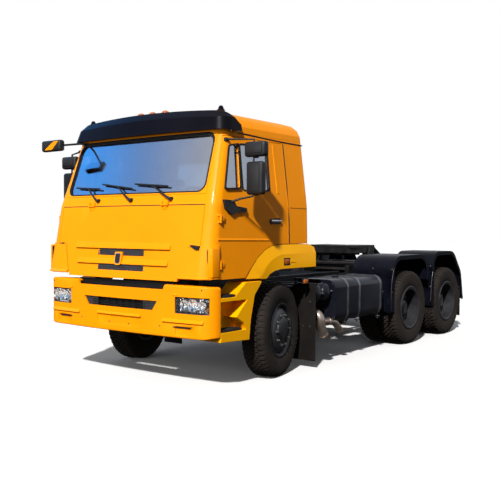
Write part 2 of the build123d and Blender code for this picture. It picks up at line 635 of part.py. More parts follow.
# Knuckles: ears above and below the eye, spindle, brake plate and steering arm
ear_gap = 3.0
ear_height = 36.0
arm_z = eye_low - ear_gap - ear_height
rod_z = arm_z - 26
ball_pin = 11.0
knuckles = {}
for name, side in (("left", 1), ("right", -1)):
    y = side * kingpin_y
    knuckle = Pos(0, y, tyre_radius) * Cylinder(kingpin_radius, eye_high - eye_low + 2 * (ear_gap + ear_height))
    for z0 in (eye_high + ear_gap, arm_z):
        knuckle += Pos(0, y, z0 + ear_height / 2) * Cylinder(eye_radius, ear_height)
        knuckle += block(-eye_radius, eye_radius, y, side * (knuckle_inner_y + 40), z0, z0 + ear_height)
    knuckle += block(-60, 60, side * knuckle_inner_y, side * (knuckle_inner_y + 40),
                     arm_z, eye_high + ear_gap + ear_height)
    knuckle += cyl_y(0, tyre_radius, side * (knuckle_inner_y + 20), side * (front_wheel_y + 95), spindle_radius)
    knuckle += cyl_y(0, tyre_radius, side * (knuckle_inner_y - 2), side * (knuckle_inner_y + 6), 184)
    knuckle += block(-steer_arm, 0, y - 16, y + 16, arm_z, arm_z + 26)
    knuckle += Pos(-steer_arm, y, arm_z + 13) * Cylinder(18, 26)
    knuckle += Pos(-steer_arm, y, (rod_z - 16 + arm_z) / 2) * Cylinder(ball_pin, arm_z - rod_z + 16)
    knuckles[name] = steered(knuckle, side)
tie_rod = cyl_y(-steer_arm, rod_z, -kingpin_y + 20, kingpin_y - 20, 15)
for side in (-1, 1):
    eye = Pos(-steer_arm, side * kingpin_y, rod_z) * Cylinder(27, 32)
    tie_rod += eye
    tie_rod -= Pos(-steer_arm, side * kingpin_y, rod_z) * Cylinder(ball_pin + running_gap, 60)
swing = math.radians(parked_steer)
tie_rod = Pos(steer_arm * (1 - math.cos(swing)), -steer_arm * math.sin(swing), 0) * tie_rod

# Wheels: (radius, along) with along from the wheel's own middle, outwards
half_tread = tyre_width / 2
tyre_profile = [(bead_radius + 0.3, -105), (300, -118), (400, -half_tread), (455, -half_tread), (512, -124),
                (tyre_radius, -104), (tyre_radius, 104), (512, 124), (455, half_tread), (400, half_tread),
                (300, 118), (bead_radius + 0.3, 105)]
rim_profile = [(rim_well, -127), (303, -127), (303, -120), (bead_radius, -120), (bead_radius, 120), (303, 120),
               (303, 127), (rim_well, 127)]
disc_front = [(rim_well + 2, 20), (rim_well + 2, 38), (240, 66), (205, 106), (188, 118), (90, 118), (90, 104),
              (180, 104), (228, 56), (250, 28)]
hub_nose = [(0, 98), (spindle_radius + running_gap, 98), (spindle_radius + running_gap, -50), (95, -50),
            (95, 150), (66, 158), (62, 192), (0, 196)]
hole_count = 10
hole_ring, hole_radius = 226.0, 26.0


def hand_holes(y, x):
    holes = []
    for n in range(hole_count):
        turn = math.radians(360 / hole_count * n)
        holes.append(cyl_y(x + hole_ring * math.cos(turn), tyre_radius + hole_ring * math.sin(turn),
                           y - 60, y + 60, hole_radius))
    return holes


wheels = {}
for name, side in (("left", 1), ("right", -1)):
    y = side * front_wheel_y
    wheels[f"front_tyre_{name}"] = [steered(turned(tyre_profile, y, 0, tyre_radius, side), side)]
    rim = turned(rim_profile, y, 0, tyre_radius, side) + turned(disc_front, y, 0, tyre_radius, side)
    for hole in hand_holes(y + side * 90, 0):
        rim -= hole
    rim += turned(hub_nose, y, 0, tyre_radius, side)
    drum = [(94, -46), (94, -34), (205, -34), (205, -115), (190, -115), (190, -46)]
    rim += turned(drum, y, 0, tyre_radius, side)
    wheels[f"front_wheel_{name}"] = [steered(rim, side)]

disc_rear = [(rim_well + 2, -40), (rim_well + 2, -58), (222, -150), (205, -dual_spacing / 2),
             (100, -dual_spacing / 2), (100, -146), (198, -146), (212, -138), (250, -50)]
hub_rear = [(0, 120), (rear_spindle_radius + running_gap, 120), (rear_spindle_radius + running_gap, -246),
            (205, -246), (205, -50), (110, -50), (110, 160), (98, 190), (60, 205), (0, 205)]
for place, x in (("mid", first_rear_x), ("rear", last_rear_x)):
    for name, side in (("left", 1), ("right", -1)):
        outer_y = side * (dual_centre + dual_spacing / 2)
        inner_y = side * (dual_centre - dual_spacing / 2)
        wheels[f"{place}_tyres_{name}"] = [turned(tyre_profile, inner_y, x, tyre_radius, side),
                                           turned(tyre_profile, outer_y, x, tyre_radius, side)]
        outer = turned(rim_profile, outer_y, x, tyre_radius, side)
        outer += turned(disc_rear, outer_y, x, tyre_radius, side)
        inner = turned(rim_profile, inner_y, x, tyre_radius, -side)
        inner += turned(disc_rear, inner_y, x, tyre_radius, -side)
        pair = outer + inner
        for hole in hand_holes(side * dual_centre, x):
            pair -= hole
        pair += turned(hub_rear, side * dual_centre, x, tyre_radius, side)
        wheels[f"{place}_wheels_{name}"] = [pair]

# Bogie: two driven axles, inverted leaf springs and the balance shaft under the rails
housing_radius = 75.0
pack_y0, pack_y1 = 505.0, 595.0
shaft_z = 640.0
bogie = None
for x in (first_rear_x, last_rear_x):
    axle = cyl_y(x, tyre_radius, -dual_centre + 250, dual_centre - 250, housing_radius)
    axle += cyl_y(x, tyre_radius, -dual_centre - 117, dual_centre + 117, rear_spindle_radius)
    axle += Pos(x, 0, tyre_radius) * Sphere(200)
    bogie = axle if bogie is None else bogie + axle
half_bogie = bogie_spacing / 2
pack_points = [(half_bogie + 70, 650), (half_bogie - 60, 690), (300, 800), (0, 826), (-300, 800),
               (-half_bogie + 60, 690), (-half_bogie - 70, 650), (-half_bogie - 70, 590), (-half_bogie + 70, 590),
               (-300, 690), (0, 716), (300, 690), (half_bogie - 70, 590), (half_bogie + 70, 590)]
for side in (-1, 1):
    bogie += side_prism([(bogie_x + x, z) for x, z in pack_points], side * pack_y0, side * pack_y1)
    bogie += block(bogie_x - 110, bogie_x + 110, side * pack_y0, side * pack_y1, shaft_z - 60, 720)
    bogie += block(bogie_x - 160, bogie_x + 160, side * (rail_inner + 4), side * rail_outer,
                   shaft_z - 60, rail_bottom)
bogie += cyl_y(bogie_x, shaft_z, -pack_y1 - 30, pack_y1 + 30, 52)
driveshafts = [rod((gearbox_rear, 0, 700), (first_rear_x + 150, 0, 545), 44) - bogie - engine,
               rod((first_rear_x - 150, 0, tyre_radius), (last_rear_x + 150, 0, tyre_radius), 44) - bogie]

# Fuel tank on the left, with brackets; battery box on the right
tank_front, tank_rear = -1085.0, -2310.0
tank_inner, tank_outer = 640.0, 1232.0
tank_low, tank_high = 505.0, 1030.0
tank_round = 110.0
bracket_half = 30.0
fuel_tank = fillet(block(tank_rear, tank_front, tank_inner, tank_outer, tank_low, tank_high).edges()
                   .filter_by(Axis.X), tank_round)
fuel_tank = chamfer(fuel_tank.faces().sort_by(Axis.X)[-1].edges()
                    + fuel_tank.faces().sort_by(Axis.X)[0].edges(), 14)
strap_places = [-1370.0, -1672.0, -2245.0]
for x in strap_places:
    fuel_tank += block(x - bracket_half, x + bracket_half, rail_outer, tank_inner + 60, 640, 900)
battery_box = fillet(block(-1500, -760, -1200, -640, 560, 980).edges().filter_by(Axis.X), 30)
battery_box += block(-1400, -1320, -650, -rail_outer, 700, 860) + block(-940, -860, -650, -rail_outer, 700, 860)
second_tank = fillet(block(tank_rear, -1640, -tank_outer, -tank_inner, tank_low + 40, tank_high - 30).edges()
                     .filter_by(Axis.X), tank_round)
second_tank += block(-2000, -1940, -tank_inner - 60, -rail_outer, 640, 900)

# Air tanks across the frame's left side, on a shelf from the rail
air_radius = 102.0
air_z = 888.0
air_end = 1160.0
air_places = (-978.0, -766.0)
air_tanks = None
for x in air_places:
    tank = cyl_y(x, air_z, 520, air_end, air_radius)
    tank += turned([(0, 0), (air_radius, 0), (air_radius * 0.86, 22), (air_radius * 0.4, 40), (0, 44)],
                   air_end, x, air_z, 1)
    air_tanks = tank if air_tanks is None else air_tanks + tank
air_tanks += block(air_places[0], -806, rail_outer, 900, air_z - 30, air_z + 30)

# Silencer under the air tanks, with its bent outlet
silencer = fillet(block(-1060, -700, 560, 1010, 430, 690).edges().filter_by(Axis.Y), 90)
outlet = FilletPolyline((-900, 980, 560), (-900, 1100, 530), (-980, 1150, 420), (-1230, 1160, 330), radius=70)
silencer += sweep(Plane(origin=outlet @ 0, z_dir=outlet % 0) * Circle(52), path=outlet)
silencer += block(-920, -860, rail_outer, 600, 660, 780)

# Rear mudguards: bands over each axle, outer lips and a bracket to the rail
guard_wall = 8.0
guard_inner = 612.0
lip_depth = 62.0


def offset_path(points, gap):
    """Moves an open path to its right-hand side by gap."""
    moved = []
    last = len(points) - 1
    for n, (x, z) in enumerate(points):
        before = points[max(n - 1, 0)]
        after = points[min(n + 1, last)]
        ux, uz = (x - before[0], z - before[1]) if n else (after[0] - x, after[1] - z)
        vx, vz = (after[0] - x, after[1] - z) if n < last else (ux, uz)
        lu, lv = math.hypot(ux, uz), math.hypot(vx, vz)
        nx, nz = uz / lu + vz / lv, -(ux / lu + vx / lv)
        length = math.hypot(nx, nz)
        reach = gap / math.sqrt((1 + (ux * vx + uz * vz) / (lu * lv)) / 2)
        moved.append((x + nx / length * reach, z + nz / length * reach))
    return moved


def band_face(points, radii, wall):
    """A band of one thickness under a rounded path of (x, z) points."""
    inner = offset_path(points, wall)
    top = FilletPolyline(*[(x, 0, z) for x, z in points], radius=radii)
    under = FilletPolyline(*[(x, 0, z) for x, z in inner], radius=[r - wall for r in radii])
    ends = [Line((points[i][0], 0, points[i][1]), (inner[i][0], 0, inner[i][1])) for i in (0, -1)]
    return make_face(top.edges() + under.edges() + ends)


# paths run from the rear end over the top to the front end
guard_paths = [
    ([(first_rear_x - 592, 900), (first_rear_x - 592, 1284), (first_rear_x + 592, 1284),
      (first_rear_x + 592, 505)], [270, 270]),
    ([(rear_end_x, 512), (last_rear_x - 560, 960), (last_rear_x - 240, 1312), (last_rear_x + 572, 1312),
      (last_rear_x + 572, 490)], [260, 320, 240]),
]
guards = {}
for name, side in (("left", 1), ("right", -1)):
    solids = []
    for path, radii in guard_paths:
        deep = extrude(band_face(path, radii, guard_wall), amount=wing_outer - guard_inner, dir=(0, -1, 0))
        lip = extrude(band_face(path, radii, lip_depth), amount=guard_wall, dir=(0, -1, 0))
        guard = on_side(Pos(0, wing_outer, 0) * (deep + lip), side)
        solids.append(guard)
    for n, (x, top) in enumerate(((first_rear_x, 1284), (last_rear_x + 60, 1312))):
        stay = block(x - 25, x + 25, side * rail_outer, side * (guard_inner + 30), rail_top - 60, rail_top)
        stay += block(x - 25, x + 25, side * guard_inner, side * (guard_inner + 30),
                      rail_top, top - guard_wall)
        solids[n] += stay
    guards[name] = solids

# Mud flaps: behind the front wheels and behind the last axle
flap_wall = 10.0
flaps = []
for side in (-1, 1):
    front_flap = block(-652, -642, side * 900, side * 1225, 95, 1010)
    front_flap += block(-690, -642, side * rail_outer, side * 1225, 985, 1015)
    flap_x = rear_end_x + 108
    flap_inner, flap_outer = side * (guard_inner + 30), side * (wing_outer - 10)
    rear_flap = block(flap_x, flap_x + 10, flap_inner, flap_outer, 240, 700)
    rear_flap += block(flap_x + 10, flap_x + 42, side * rail_outer, flap_outer, 700, 730)
    rear_flap += block(flap_x, flap_x + 42, flap_inner, flap_outer, 690, 730)
    rear_flap += block(flap_x + 10, flap_x + 42, side * (rail_outer - 40), side * (rail_outer + 20),
                       700, rail_bottom)
    flaps += [front_flap, rear_flap]

# Tail lamps on the rear crossmember's line
tail_lamps = []
for side in (-1, 1):
    tail_lamps.append(block(rail_rear - 70, rail_rear, side * (rail_inner - 60), side * rail_outer, 800, 930))

# Fifth wheel: base with pivot ears, and the tilting plate
base_x0, base_x1 = coupling_x - 330, coupling_x + 330
ear_y0, ear_y1 = 372.0, 398.0
fifth_base = block(base_x0, base_x1, -rail_outer - 30, rail_outer + 30, rail_top + 110, rail_top + 126)
for side in (-1, 1):
    fifth_base += block(base_x0 - 250, base_x1 + 250, side * (rail_inner + 6), side * rail_outer,
                        rail_top, rail_top + 110)
    for ear in ((ear_y0, ear_y1), (ear_y1 + 62, ear_y1 + 88)):
        low, high = side * ear[0], side * ear[1]
        fifth_base += side_prism([(coupling_x - 150, rail_top + 126), (coupling_x - 40, plate_pivot_z + 34),
                                  (coupling_x + 40, plate_pivot_z + 34), (coupling_x + 150, rail_top + 126)],
                                 low, high)
    fifth_base += block(coupling_x - 150, coupling_x + 150, side * ear_y0, side * (ear_y1 + 88),
                        rail_top + 110, rail_top + 126)
    fifth_base += cyl_y(coupling_x, plate_pivot_z, side * ear_y0, side * (ear_y1 + 88), pivot_radius)
plate_front, plate_rear = 400.0, 170.0
plate_half = 450.0
throat_half = 150.0
plate = block(coupling_x - plate_rear, coupling_x + plate_front, -plate_half, plate_half,
              plate_top - plate_wall, plate_top)
plate = fillet(plate.edges().filter_by(Axis.Z).sort_by(Axis.X)[-2:], 150)
ramp_reach = 470.0
ramp_drop = 165.0
for side in (-1, 1):
    ramp = [(coupling_x - plate_rear, plate_top), (coupling_x - ramp_reach, plate_top - ramp_drop),
            (coupling_x - ramp_reach, plate_top - ramp_drop - 22), (coupling_x - plate_rear, plate_top - plate_wall)]
    plate += side_prism(ramp, side * 170, side * 420)
throat = extrude(make_face(Polyline((coupling_x - 10, -kingpin_bore, 0), (coupling_x - 700, -throat_half - 60, 0),
                                    (coupling_x - 700, throat_half + 60, 0), (coupling_x - 10, kingpin_bore, 0),
                                    close=True)), amount=2000, dir=(0, 0, 1))
collar = Pos(coupling_x, 0, plate_top - 50) * Cylinder(92, 100)
plate = plate + collar - throat
jaw = Pos(coupling_x, 0, plate_top - 60) * Cylinder(92, 50)
jaw &= block(coupling_x - 90, coupling_x, -60, 60, 0, 2000)
plate += jaw
plate -= Pos(coupling_x, 0, plate_top - 60) * Cylinder(kingpin_bore, 300)
for side in (-1, 1):
    rib_inner, rib_outer = side * (ear_y1 + 4), side * (ear_y1 + 58)
    rib = block(coupling_x - 60, coupling_x + 60, rib_inner, rib_outer, plate_pivot_z - 30, plate_top - 10)
    rib += cyl_y(coupling_x, plate_pivot_z, rib_inner, rib_outer, 48)
    rib -= cyl_y(coupling_x, plate_pivot_z, rib_inner, rib_outer, pivot_radius + running_gap)
    plate += rib

# Nodes
save("frame_rail_left", rail)
save("frame_rail_right", mirror(rail, about=Plane.XZ))
save("crossmembers", *crossmembers)
save("front_brackets", *front_brackets)
save("bumper", bumper)
save("headlamps", *both_sides(headlamp))
save("step_fairings", *both_sides(fairing))
save("engine_block", engine)
save("front_axle", front_axle)
save("bogie", bogie)
save("driveshafts", *driveshafts)
save("fuel_tank", fuel_tank)
save("second_tank", second_tank)
save("battery_box", battery_box)
save("air_tanks", air_tanks)
save("silencer", silencer)
save("mudguards_left", *guards["left"])
save("mudguards_right", *guards["right"])
save("mud_flaps", *flaps)
save("tail_lamps", *tail_lamps)
save("fifth_wheel_base", fifth_base)
save("fifth_wheel_plate", plate)
save("cab_front", cab_front)
save("cab_sides", *both_sides(cab_side))
save("cab_rear", cab_rear)
save("rear_glass", *rear_panes)
save("cab_roof", cab_roof)
save("cab_floor", cab_floor)
save("cab_wings", *both_sides(wing), *both_sides(corner_trim))
save("windscreen", windscreen)
save("sun_visor", visor)
save("seats", *seats)
save("dashboard", dashboard)
save("wipers", *wipers)
save("front_mirror", front_mirror)
save("front_lid", lid)
for name, side in (("left", 1), ("right", -1)):
    save(f"door_{name}", on_side(door, side))
    save(f"door_glass_{name}", *[on_side(pane, side) for pane in panes])
    save(f"door_mirror_{name}", on_side(door_mirror, side))
    save(f"knuckle_{name}", knuckles[name])
save("tie_rod", tie_rod)
for name, solids in wheels.items():
    save(name, *solids)
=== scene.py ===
import bpy
import bmesh
import json
import math
from mathutils import Matrix, Vector

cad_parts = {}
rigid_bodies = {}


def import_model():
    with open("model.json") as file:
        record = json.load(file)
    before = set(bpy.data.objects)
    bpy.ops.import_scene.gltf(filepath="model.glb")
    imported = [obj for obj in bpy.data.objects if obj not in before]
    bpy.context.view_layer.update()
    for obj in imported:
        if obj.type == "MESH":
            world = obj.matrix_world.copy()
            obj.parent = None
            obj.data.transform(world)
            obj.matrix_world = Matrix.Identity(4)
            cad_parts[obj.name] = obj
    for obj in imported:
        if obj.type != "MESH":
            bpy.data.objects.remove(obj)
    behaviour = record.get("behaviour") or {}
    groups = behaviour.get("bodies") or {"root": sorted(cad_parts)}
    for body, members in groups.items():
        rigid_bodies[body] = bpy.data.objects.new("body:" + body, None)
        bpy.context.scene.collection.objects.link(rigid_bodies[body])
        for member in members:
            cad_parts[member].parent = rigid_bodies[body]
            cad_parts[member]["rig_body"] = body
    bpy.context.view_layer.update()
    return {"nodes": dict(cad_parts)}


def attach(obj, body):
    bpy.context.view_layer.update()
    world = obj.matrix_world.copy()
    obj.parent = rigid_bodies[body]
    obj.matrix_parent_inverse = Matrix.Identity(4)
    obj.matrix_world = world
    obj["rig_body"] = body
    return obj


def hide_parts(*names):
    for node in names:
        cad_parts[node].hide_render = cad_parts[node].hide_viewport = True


# Yellow three-axle tractor unit. Pieces are built in millimetres from the front axle, on the ground:
# x forward, y to the driver's left, z up. finishPiece moves them to the frame's metres.

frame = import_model()
nodes = frame["nodes"]
scene = bpy.context.scene
truck = {"axleX": 1914.0, "wheelZ": 525.0, "trackY": 1025.0, "kingpinY": 860.0, "parkedSteer": 12.0,
         "midX": -3190.0, "rearX": -4510.0, "pairY": (785.0, 1105.0)}
toFrame = Matrix.Scale(0.001, 4) @ Matrix.Translation((truck["axleX"], 0.0, 0.0))
fromFrame = toFrame.inverted()
wheelZ, trackY = truck["wheelZ"], truck["trackY"]
sides = ((1, "left"), (-1, "right"))
print("frame loaded:", len(nodes), "nodes")


# Materials
def setSockets(node, values):
    for socket, value in values.items():
        node.inputs[socket].default_value = value


def addNode(tree, kind, values=None, operation=None):
    node = tree.nodes.new("ShaderNode" + kind)
    setSockets(node, values or {})
    if operation:
        node.operation = operation
    return node


# Colours may be links or plain tones; a Mix node takes them at sockets 6 and 7 and gives its result at 2
def mixColours(tree, factor, first, second):
    mixer = addNode(tree, "Mix")
    mixer.data_type = "RGBA"
    tree.links.new(factor, mixer.inputs[0])
    for number, colour in ((6, first), (7, second)):
        if isinstance(colour, tuple):
            mixer.inputs[number].default_value = (*colour, 1.0)
        else:
            tree.links.new(colour, mixer.inputs[number])
    return mixer.outputs[2]


# A worn two-tone finish with fine relief, and road dust up to a height; depth and dustTop are in metres
def surface(name, tone, second, rough, metal=0.0, coat=0.0, patch=3.0, grain=90.0, relief=0.3, depth=0.0004,
            dust=0.0, dustTop=1.2, dustTone=(0.17, 0.13, 0.10), sheen=0.0, shine=0.5):
    mat = bpy.data.materials.new(name)
    mat.use_nodes = True
    tree = mat.node_tree
    link = tree.links.new
    shader = tree.nodes["Principled BSDF"]
    setSockets(shader, {"Metallic": metal, "Coat Weight": coat, "Coat Roughness": 0.06, "Sheen Weight": sheen,
                        "Specular IOR Level": shine})
    spots = addNode(tree, "TexCoord").outputs["Object"]
    patches = addNode(tree, "TexNoise", {"Scale": patch, "Detail": 6.0, "Roughness": 0.65})
    spread = addNode(tree, "ValToRGB")
    for stop, place, paint in zip(spread.color_ramp.elements, (0.38, 0.64), (tone, second)):
        stop.position = place
        stop.color = (*paint, 1.0)
    fine = addNode(tree, "TexNoise", {"Scale": grain, "Detail": 4.0})
    gloss = addNode(tree, "MapRange", {"From Min": 0.3, "From Max": 0.7, "To Min": max(rough - 0.06, 0.02),
                                       "To Max": min(rough + 0.08, 1.0)})
    bump = addNode(tree, "Bump", {"Strength": relief, "Distance": depth})
    link(spots, patches.inputs["Vector"])
    link(spots, fine.inputs["Vector"])
    link(patches.outputs["Fac"], spread.inputs["Fac"])
    link(patches.outputs["Fac"], gloss.inputs["Value"])
    link(gloss.outputs["Result"], shader.inputs["Roughness"])
    link(fine.outputs["Fac"], bump.inputs["Height"])
    link(bump.outputs["Normal"], shader.inputs["Normal"])
    colour = spread.outputs["Color"]
    if dust:
        parts = addNode(tree, "SeparateXYZ")
        low = addNode(tree, "MapRange",
                      {"From Min": 0.0, "From Max": dustTop, "To Min": dust, "To Max": dust * 0.12})
        speckle = addNode(tree, "Math", operation="MULTIPLY")
        link(spots, parts.inputs["Vector"])
        link(parts.outputs["Z"], low.inputs["Value"])
        link(low.outputs["Result"], speckle.inputs[0])
        link(patches.outputs["Fac"], speckle.inputs[1])
        colour = mixColours(tree, speckle.outputs[0], colour, dustTone)
    link(colour, shader.inputs["Base Color"])
    return mat


# Glass or a lens, with faint streaks of dirt
def clearPart(name, tone, second, rough, through=1.0, metal=0.0):
    mat = surface(name, tone, second, rough, metal=metal, grain=40.0, relief=0.05, depth=0.0002)
    setSockets(mat.node_tree.nodes["Principled BSDF"], {"Transmission Weight": through, "IOR": 1.45})
    return mat


# A coarse seat cloth of two crossed waves
def weave(name, tone, second):
    mat = surface(name, tone, second, 0.85, patch=18.0, grain=400.0, relief=0.3, sheen=0.35)
    tree = mat.node_tree
    cross = addNode(tree, "Math", operation="MAXIMUM")
    for n, turn in enumerate((0.0, math.pi / 2)):
        place = addNode(tree, "Mapping", {"Rotation": (turn, 0.3, turn)})
        wave = addNode(tree, "TexWave", {"Scale": 160.0, "Distortion": 0.6})
        tree.links.new(tree.nodes["Texture Coordinate"].outputs["Object"], place.inputs["Vector"])
        tree.links.new(place.outputs["Vector"], wave.inputs["Vector"])
        tree.links.new(wave.outputs["Fac"], cross.inputs[n])
    bump = tree.nodes["Bump"]
    setSockets(bump, {"Distance": 0.0012, "Strength": 0.6})
    tree.links.new(cross.outputs[0], bump.inputs["Height"])
    return mat


yellowCoat = {"patch": 1.4, "grain": 260.0, "relief": 0.08, "depth": 0.0002}
yellowDust = (0.40, 0.20, 0.015)
cabYellow = surface("cabYellow", (0.97, 0.305, 0.0), (0.92, 0.288, 0.0), 0.46, coat=0.03, dust=0.07,
                    dustTop=0.7, dustTone=yellowDust, shine=0.12, **yellowCoat)
# A lighter copy of the cab's yellow: painted light for faces that stand toward the light
paintedLightYellow = surface("paintedLightYellow", (1.0, 0.45, 0.0), (0.97, 0.42, 0.0), 0.38, coat=0.05, dust=0.04,
                     dustTop=0.5, dustTone=yellowDust, shine=0.12, **yellowCoat)
# A dull dark orange that is painted shadow, for the bands under the lid's ledges
paintedShadowOrange = surface("paintedShadowOrange", (0.42, 0.12, 0.0), (0.36, 0.10, 0.0), 0.6, shine=0.1, **yellowCoat)
navyGloss = surface("navyGloss", (0.0025, 0.002, 0.004), (0.0035, 0.003, 0.006), 0.34, patch=2.2, grain=200.0,
                    relief=0.12, depth=0.0003, dust=0.005, shine=0.06)
guardNavy = surface("guardNavy", (0.002, 0.002, 0.005), (0.004, 0.005, 0.010), 0.40, coat=0.02, patch=3.5,
                    grain=120.0, relief=0.25, dust=0.01, shine=0.08)
frameBlack = surface("frameBlack", (0.005, 0.005, 0.007), (0.010, 0.010, 0.012), 0.5, patch=5.0, grain=80.0,
                     relief=0.35, dust=0.06, shine=0.25)
tankBlack = surface("tankBlack", (0.005, 0.006, 0.011), (0.009, 0.010, 0.017), 0.34, coat=0.12, patch=2.5,
                    grain=150.0, relief=0.15, dust=0.02, dustTop=1.1, shine=0.2)
plasticBlack = surface("plasticBlack", (0.007, 0.007, 0.008), (0.012, 0.012, 0.013), 0.5, patch=8.0,
                       grain=700.0, relief=0.5, depth=0.0003, dust=0.05, shine=0.35)
plasticGrey = surface("plasticGrey", (0.020, 0.020, 0.023), (0.030, 0.030, 0.034), 0.5, patch=8.0,
                      grain=600.0, relief=0.5, depth=0.0003, dust=0.06, shine=0.4)
tyreRubber = surface("tyreRubber", (0.014, 0.011, 0.0095), (0.025, 0.019, 0.016), 0.80, patch=7.0,
                     grain=160.0, relief=0.6, depth=0.0006, dust=0.10, dustTop=1.1,
                     dustTone=(0.08, 0.06, 0.048), shine=0.2)
flapRubber = surface("flapRubber", (0.005, 0.0035, 0.003), (0.010, 0.007, 0.006), 0.74, patch=5.0,
                     grain=120.0, relief=0.5, depth=0.0006, dust=0.03, dustTop=1.0,
                     dustTone=(0.07, 0.05, 0.04), shine=0.2)
gasketRubber = surface("gasketRubber", (0.004, 0.004, 0.005), (0.008, 0.008, 0.009), 0.6, patch=12.0,
                       grain=300.0, shine=0.25)
rimGrey = surface("rimGrey", (0.022, 0.023, 0.028), (0.038, 0.039, 0.044), 0.36, metal=0.3, patch=6.0,
                  grain=150.0, relief=0.25, dust=0.10, dustTop=1.1)
hubBlack = surface("hubBlack", (0.006, 0.006, 0.008), (0.012, 0.012, 0.014), 0.42, patch=9.0, grain=180.0,
                   dust=0.06)
boltSteel = surface("boltSteel", (0.42, 0.41, 0.39), (0.30, 0.29, 0.27), 0.34, metal=1.0, patch=40.0,
                    grain=400.0)
nutDark = surface("nutDark", (0.12, 0.12, 0.12), (0.20, 0.19, 0.18), 0.38, metal=0.9, patch=30.0, grain=300.0)
strapSteel = surface("strapSteel", (0.16, 0.16, 0.17), (0.24, 0.24, 0.25), 0.36, metal=0.9, patch=10.0,
                     grain=300.0, relief=0.2)
exhaustSteel = surface("exhaustSteel", (0.52, 0.44, 0.38), (0.30, 0.22, 0.17), 0.36, metal=0.9, patch=9.0,
                       grain=110.0, relief=0.4, depth=0.0006)
castIron = surface("castIron", (0.012, 0.011, 0.011), (0.022, 0.020, 0.019), 0.62, metal=0.2, patch=9.0,
                   grain=60.0, relief=0.7, depth=0.0012, dust=0.12)
greasySteel = surface("greasySteel", (0.008, 0.008, 0.009), (0.020, 0.019, 0.018), 0.34, metal=0.4, patch=9.0,
                      grain=70.0, relief=0.4, depth=0.0005)
chromeBowl = surface("chromeBowl", (0.88, 0.80, 0.72), (0.70, 0.64, 0.58), 0.07, metal=1.0, patch=20.0,
                     grain=30.0, relief=0.2, depth=0.0005)
mirrorSilver = surface("mirrorSilver", (0.78, 0.80, 0.83), (0.72, 0.75, 0.79), 0.03, metal=1.0, patch=5.0,
                       grain=20.0, relief=0.02, depth=0.0001)
badgeSilver = surface("badgeSilver", (0.62, 0.62, 0.62), (0.54, 0.54, 0.55), 0.22, metal=1.0, patch=30.0,
                      grain=300.0, relief=0.2)
dashPlastic = surface("dashPlastic", (0.030, 0.030, 0.033), (0.042, 0.042, 0.046), 0.62, patch=6.0,
                      grain=500.0, relief=0.5, depth=0.0003)
floorMat = surface("floorMat", (0.015, 0.015, 0.016), (0.025, 0.024, 0.023), 0.8, patch=8.0, grain=220.0,
                   relief=0.7, depth=0.0008)
screenGlass = clearPart("screenGlass", (0.62, 0.64, 0.68), (0.58, 0.60, 0.65), 0.04, metal=0.5)
sideGlass = clearPart("sideGlass", (0.64, 0.67, 0.72), (0.60, 0.63, 0.68), 0.05, metal=0.72)
rearClear = clearPart("rearClear", (0.86, 0.88, 0.92), (0.82, 0.84, 0.88), 0.04, metal=0.12)
clearLens = clearPart("clearLens", (0.94, 0.95, 0.97), (0.90, 0.92, 0.94), 0.05)
orangeLens = clearPart("orangeLens", (0.62, 0.15, 0.008), (0.50, 0.11, 0.006), 0.2, through=0.3)
redLens = clearPart("redLens", (0.60, 0.01, 0.01), (0.50, 0.01, 0.01), 0.2, through=0.4)
seatCloth = weave("seatCloth", (0.060, 0.064, 0.075), (0.085, 0.088, 0.100))
print("materials ready")


# Mesh helpers
axisLines = {"X": Vector((1, 0, 0)), "Y": Vector((0, 1, 0)), "Z": Vector((0, 0, 1))}


def addBox(bm, x0, x1, y0, y1, z0, z1, bevel=0.0, segments=2, spin=None):
    size = Matrix.Diagonal((abs(x1 - x0), abs(y1 - y0), abs(z1 - z0), 1.0))
    place = Matrix.Translation(((x0 + x1) / 2, (y0 + y1) / 2, (z0 + z1) / 2))
    made = bmesh.ops.create_cube(bm, size=1.0, matrix=place @ (spin or Matrix.Identity(4)) @ size)
    if bevel:
        edges = list({edge for vert in made["verts"] for edge in vert.link_edges})
        bmesh.ops.bevel(bm, geom=edges, offset=bevel, segments=segments, profile=0.5, affect="EDGES",
                        clamp_overlap=True, material=-1)


# Boxes as (x from and to, y from and to, z from and to, bevel, segments), on one side of the truck
def addBoxes(bm, boxes, side=1):
    for x0, x1, y0, y1, z0, z1, *edge in boxes:
        addBox(bm, x0, x1, side * y0, side * y1, z0, z1, *edge)


def addRod(bm, start, end, radius, endRadius=None, facets=16):
    start, end = Vector(start), Vector(end)
    turn = (end - start).to_track_quat("Z", "Y").to_matrix().to_4x4()
    bmesh.ops.create_cone(bm, cap_ends=True, segments=facets, radius1=radius,
                          radius2=radius if endRadius is None else endRadius, depth=(end - start).length,
                          matrix=Matrix.Translation((start + end) / 2) @ turn)


# Rods from one spot outwards along y, as (reach, radius, end radius, facets)
def addStud(bm, spot, side, rods):
    x, y, z = spot
    for reach, radius, endRadius, facets in rods:
        addRod(bm, spot, (x, y + side * reach, z), radius, endRadius, facets)


# Spins (radius, along) points round an axis through centre
def addTurned(bm, profile, centre, axis="Y", side=1, steps=48, closed=False):
    cx, cy, cz = centre
    spots = {"X": lambda r, a: (cx + side * a, cy, cz + r), "Y": lambda r, a: (cx + r, cy + side * a, cz),
             "Z": lambda r, a: (cx + r, cy, cz + side * a)}[axis]
    verts = [bm.verts.new(spots(r, a)) for r, a in profile]
    edges = [bm.edges.new(pair) for pair in zip(verts, verts[1:])]
    if closed:
        edges.append(bm.edges.new((verts[-1], verts[0])))
    bmesh.ops.spin(bm, geom=verts + edges, cent=centre, axis=axisLines[axis], dvec=(0, 0, 0),
                   angle=2 * math.pi, steps=steps, use_merge=True)


# A hexagon head on a washer
def addBolt(bm, spot, axis, side, radius, height):
    line = axisLines[axis] * side
    spot = Vector(spot)
    addRod(bm, spot - line * 2, spot + line * 2, radius * 1.5, facets=14)
    addRod(bm, spot + line * 2, spot + line * (2 + height), radius, radius * 0.9, facets=6)


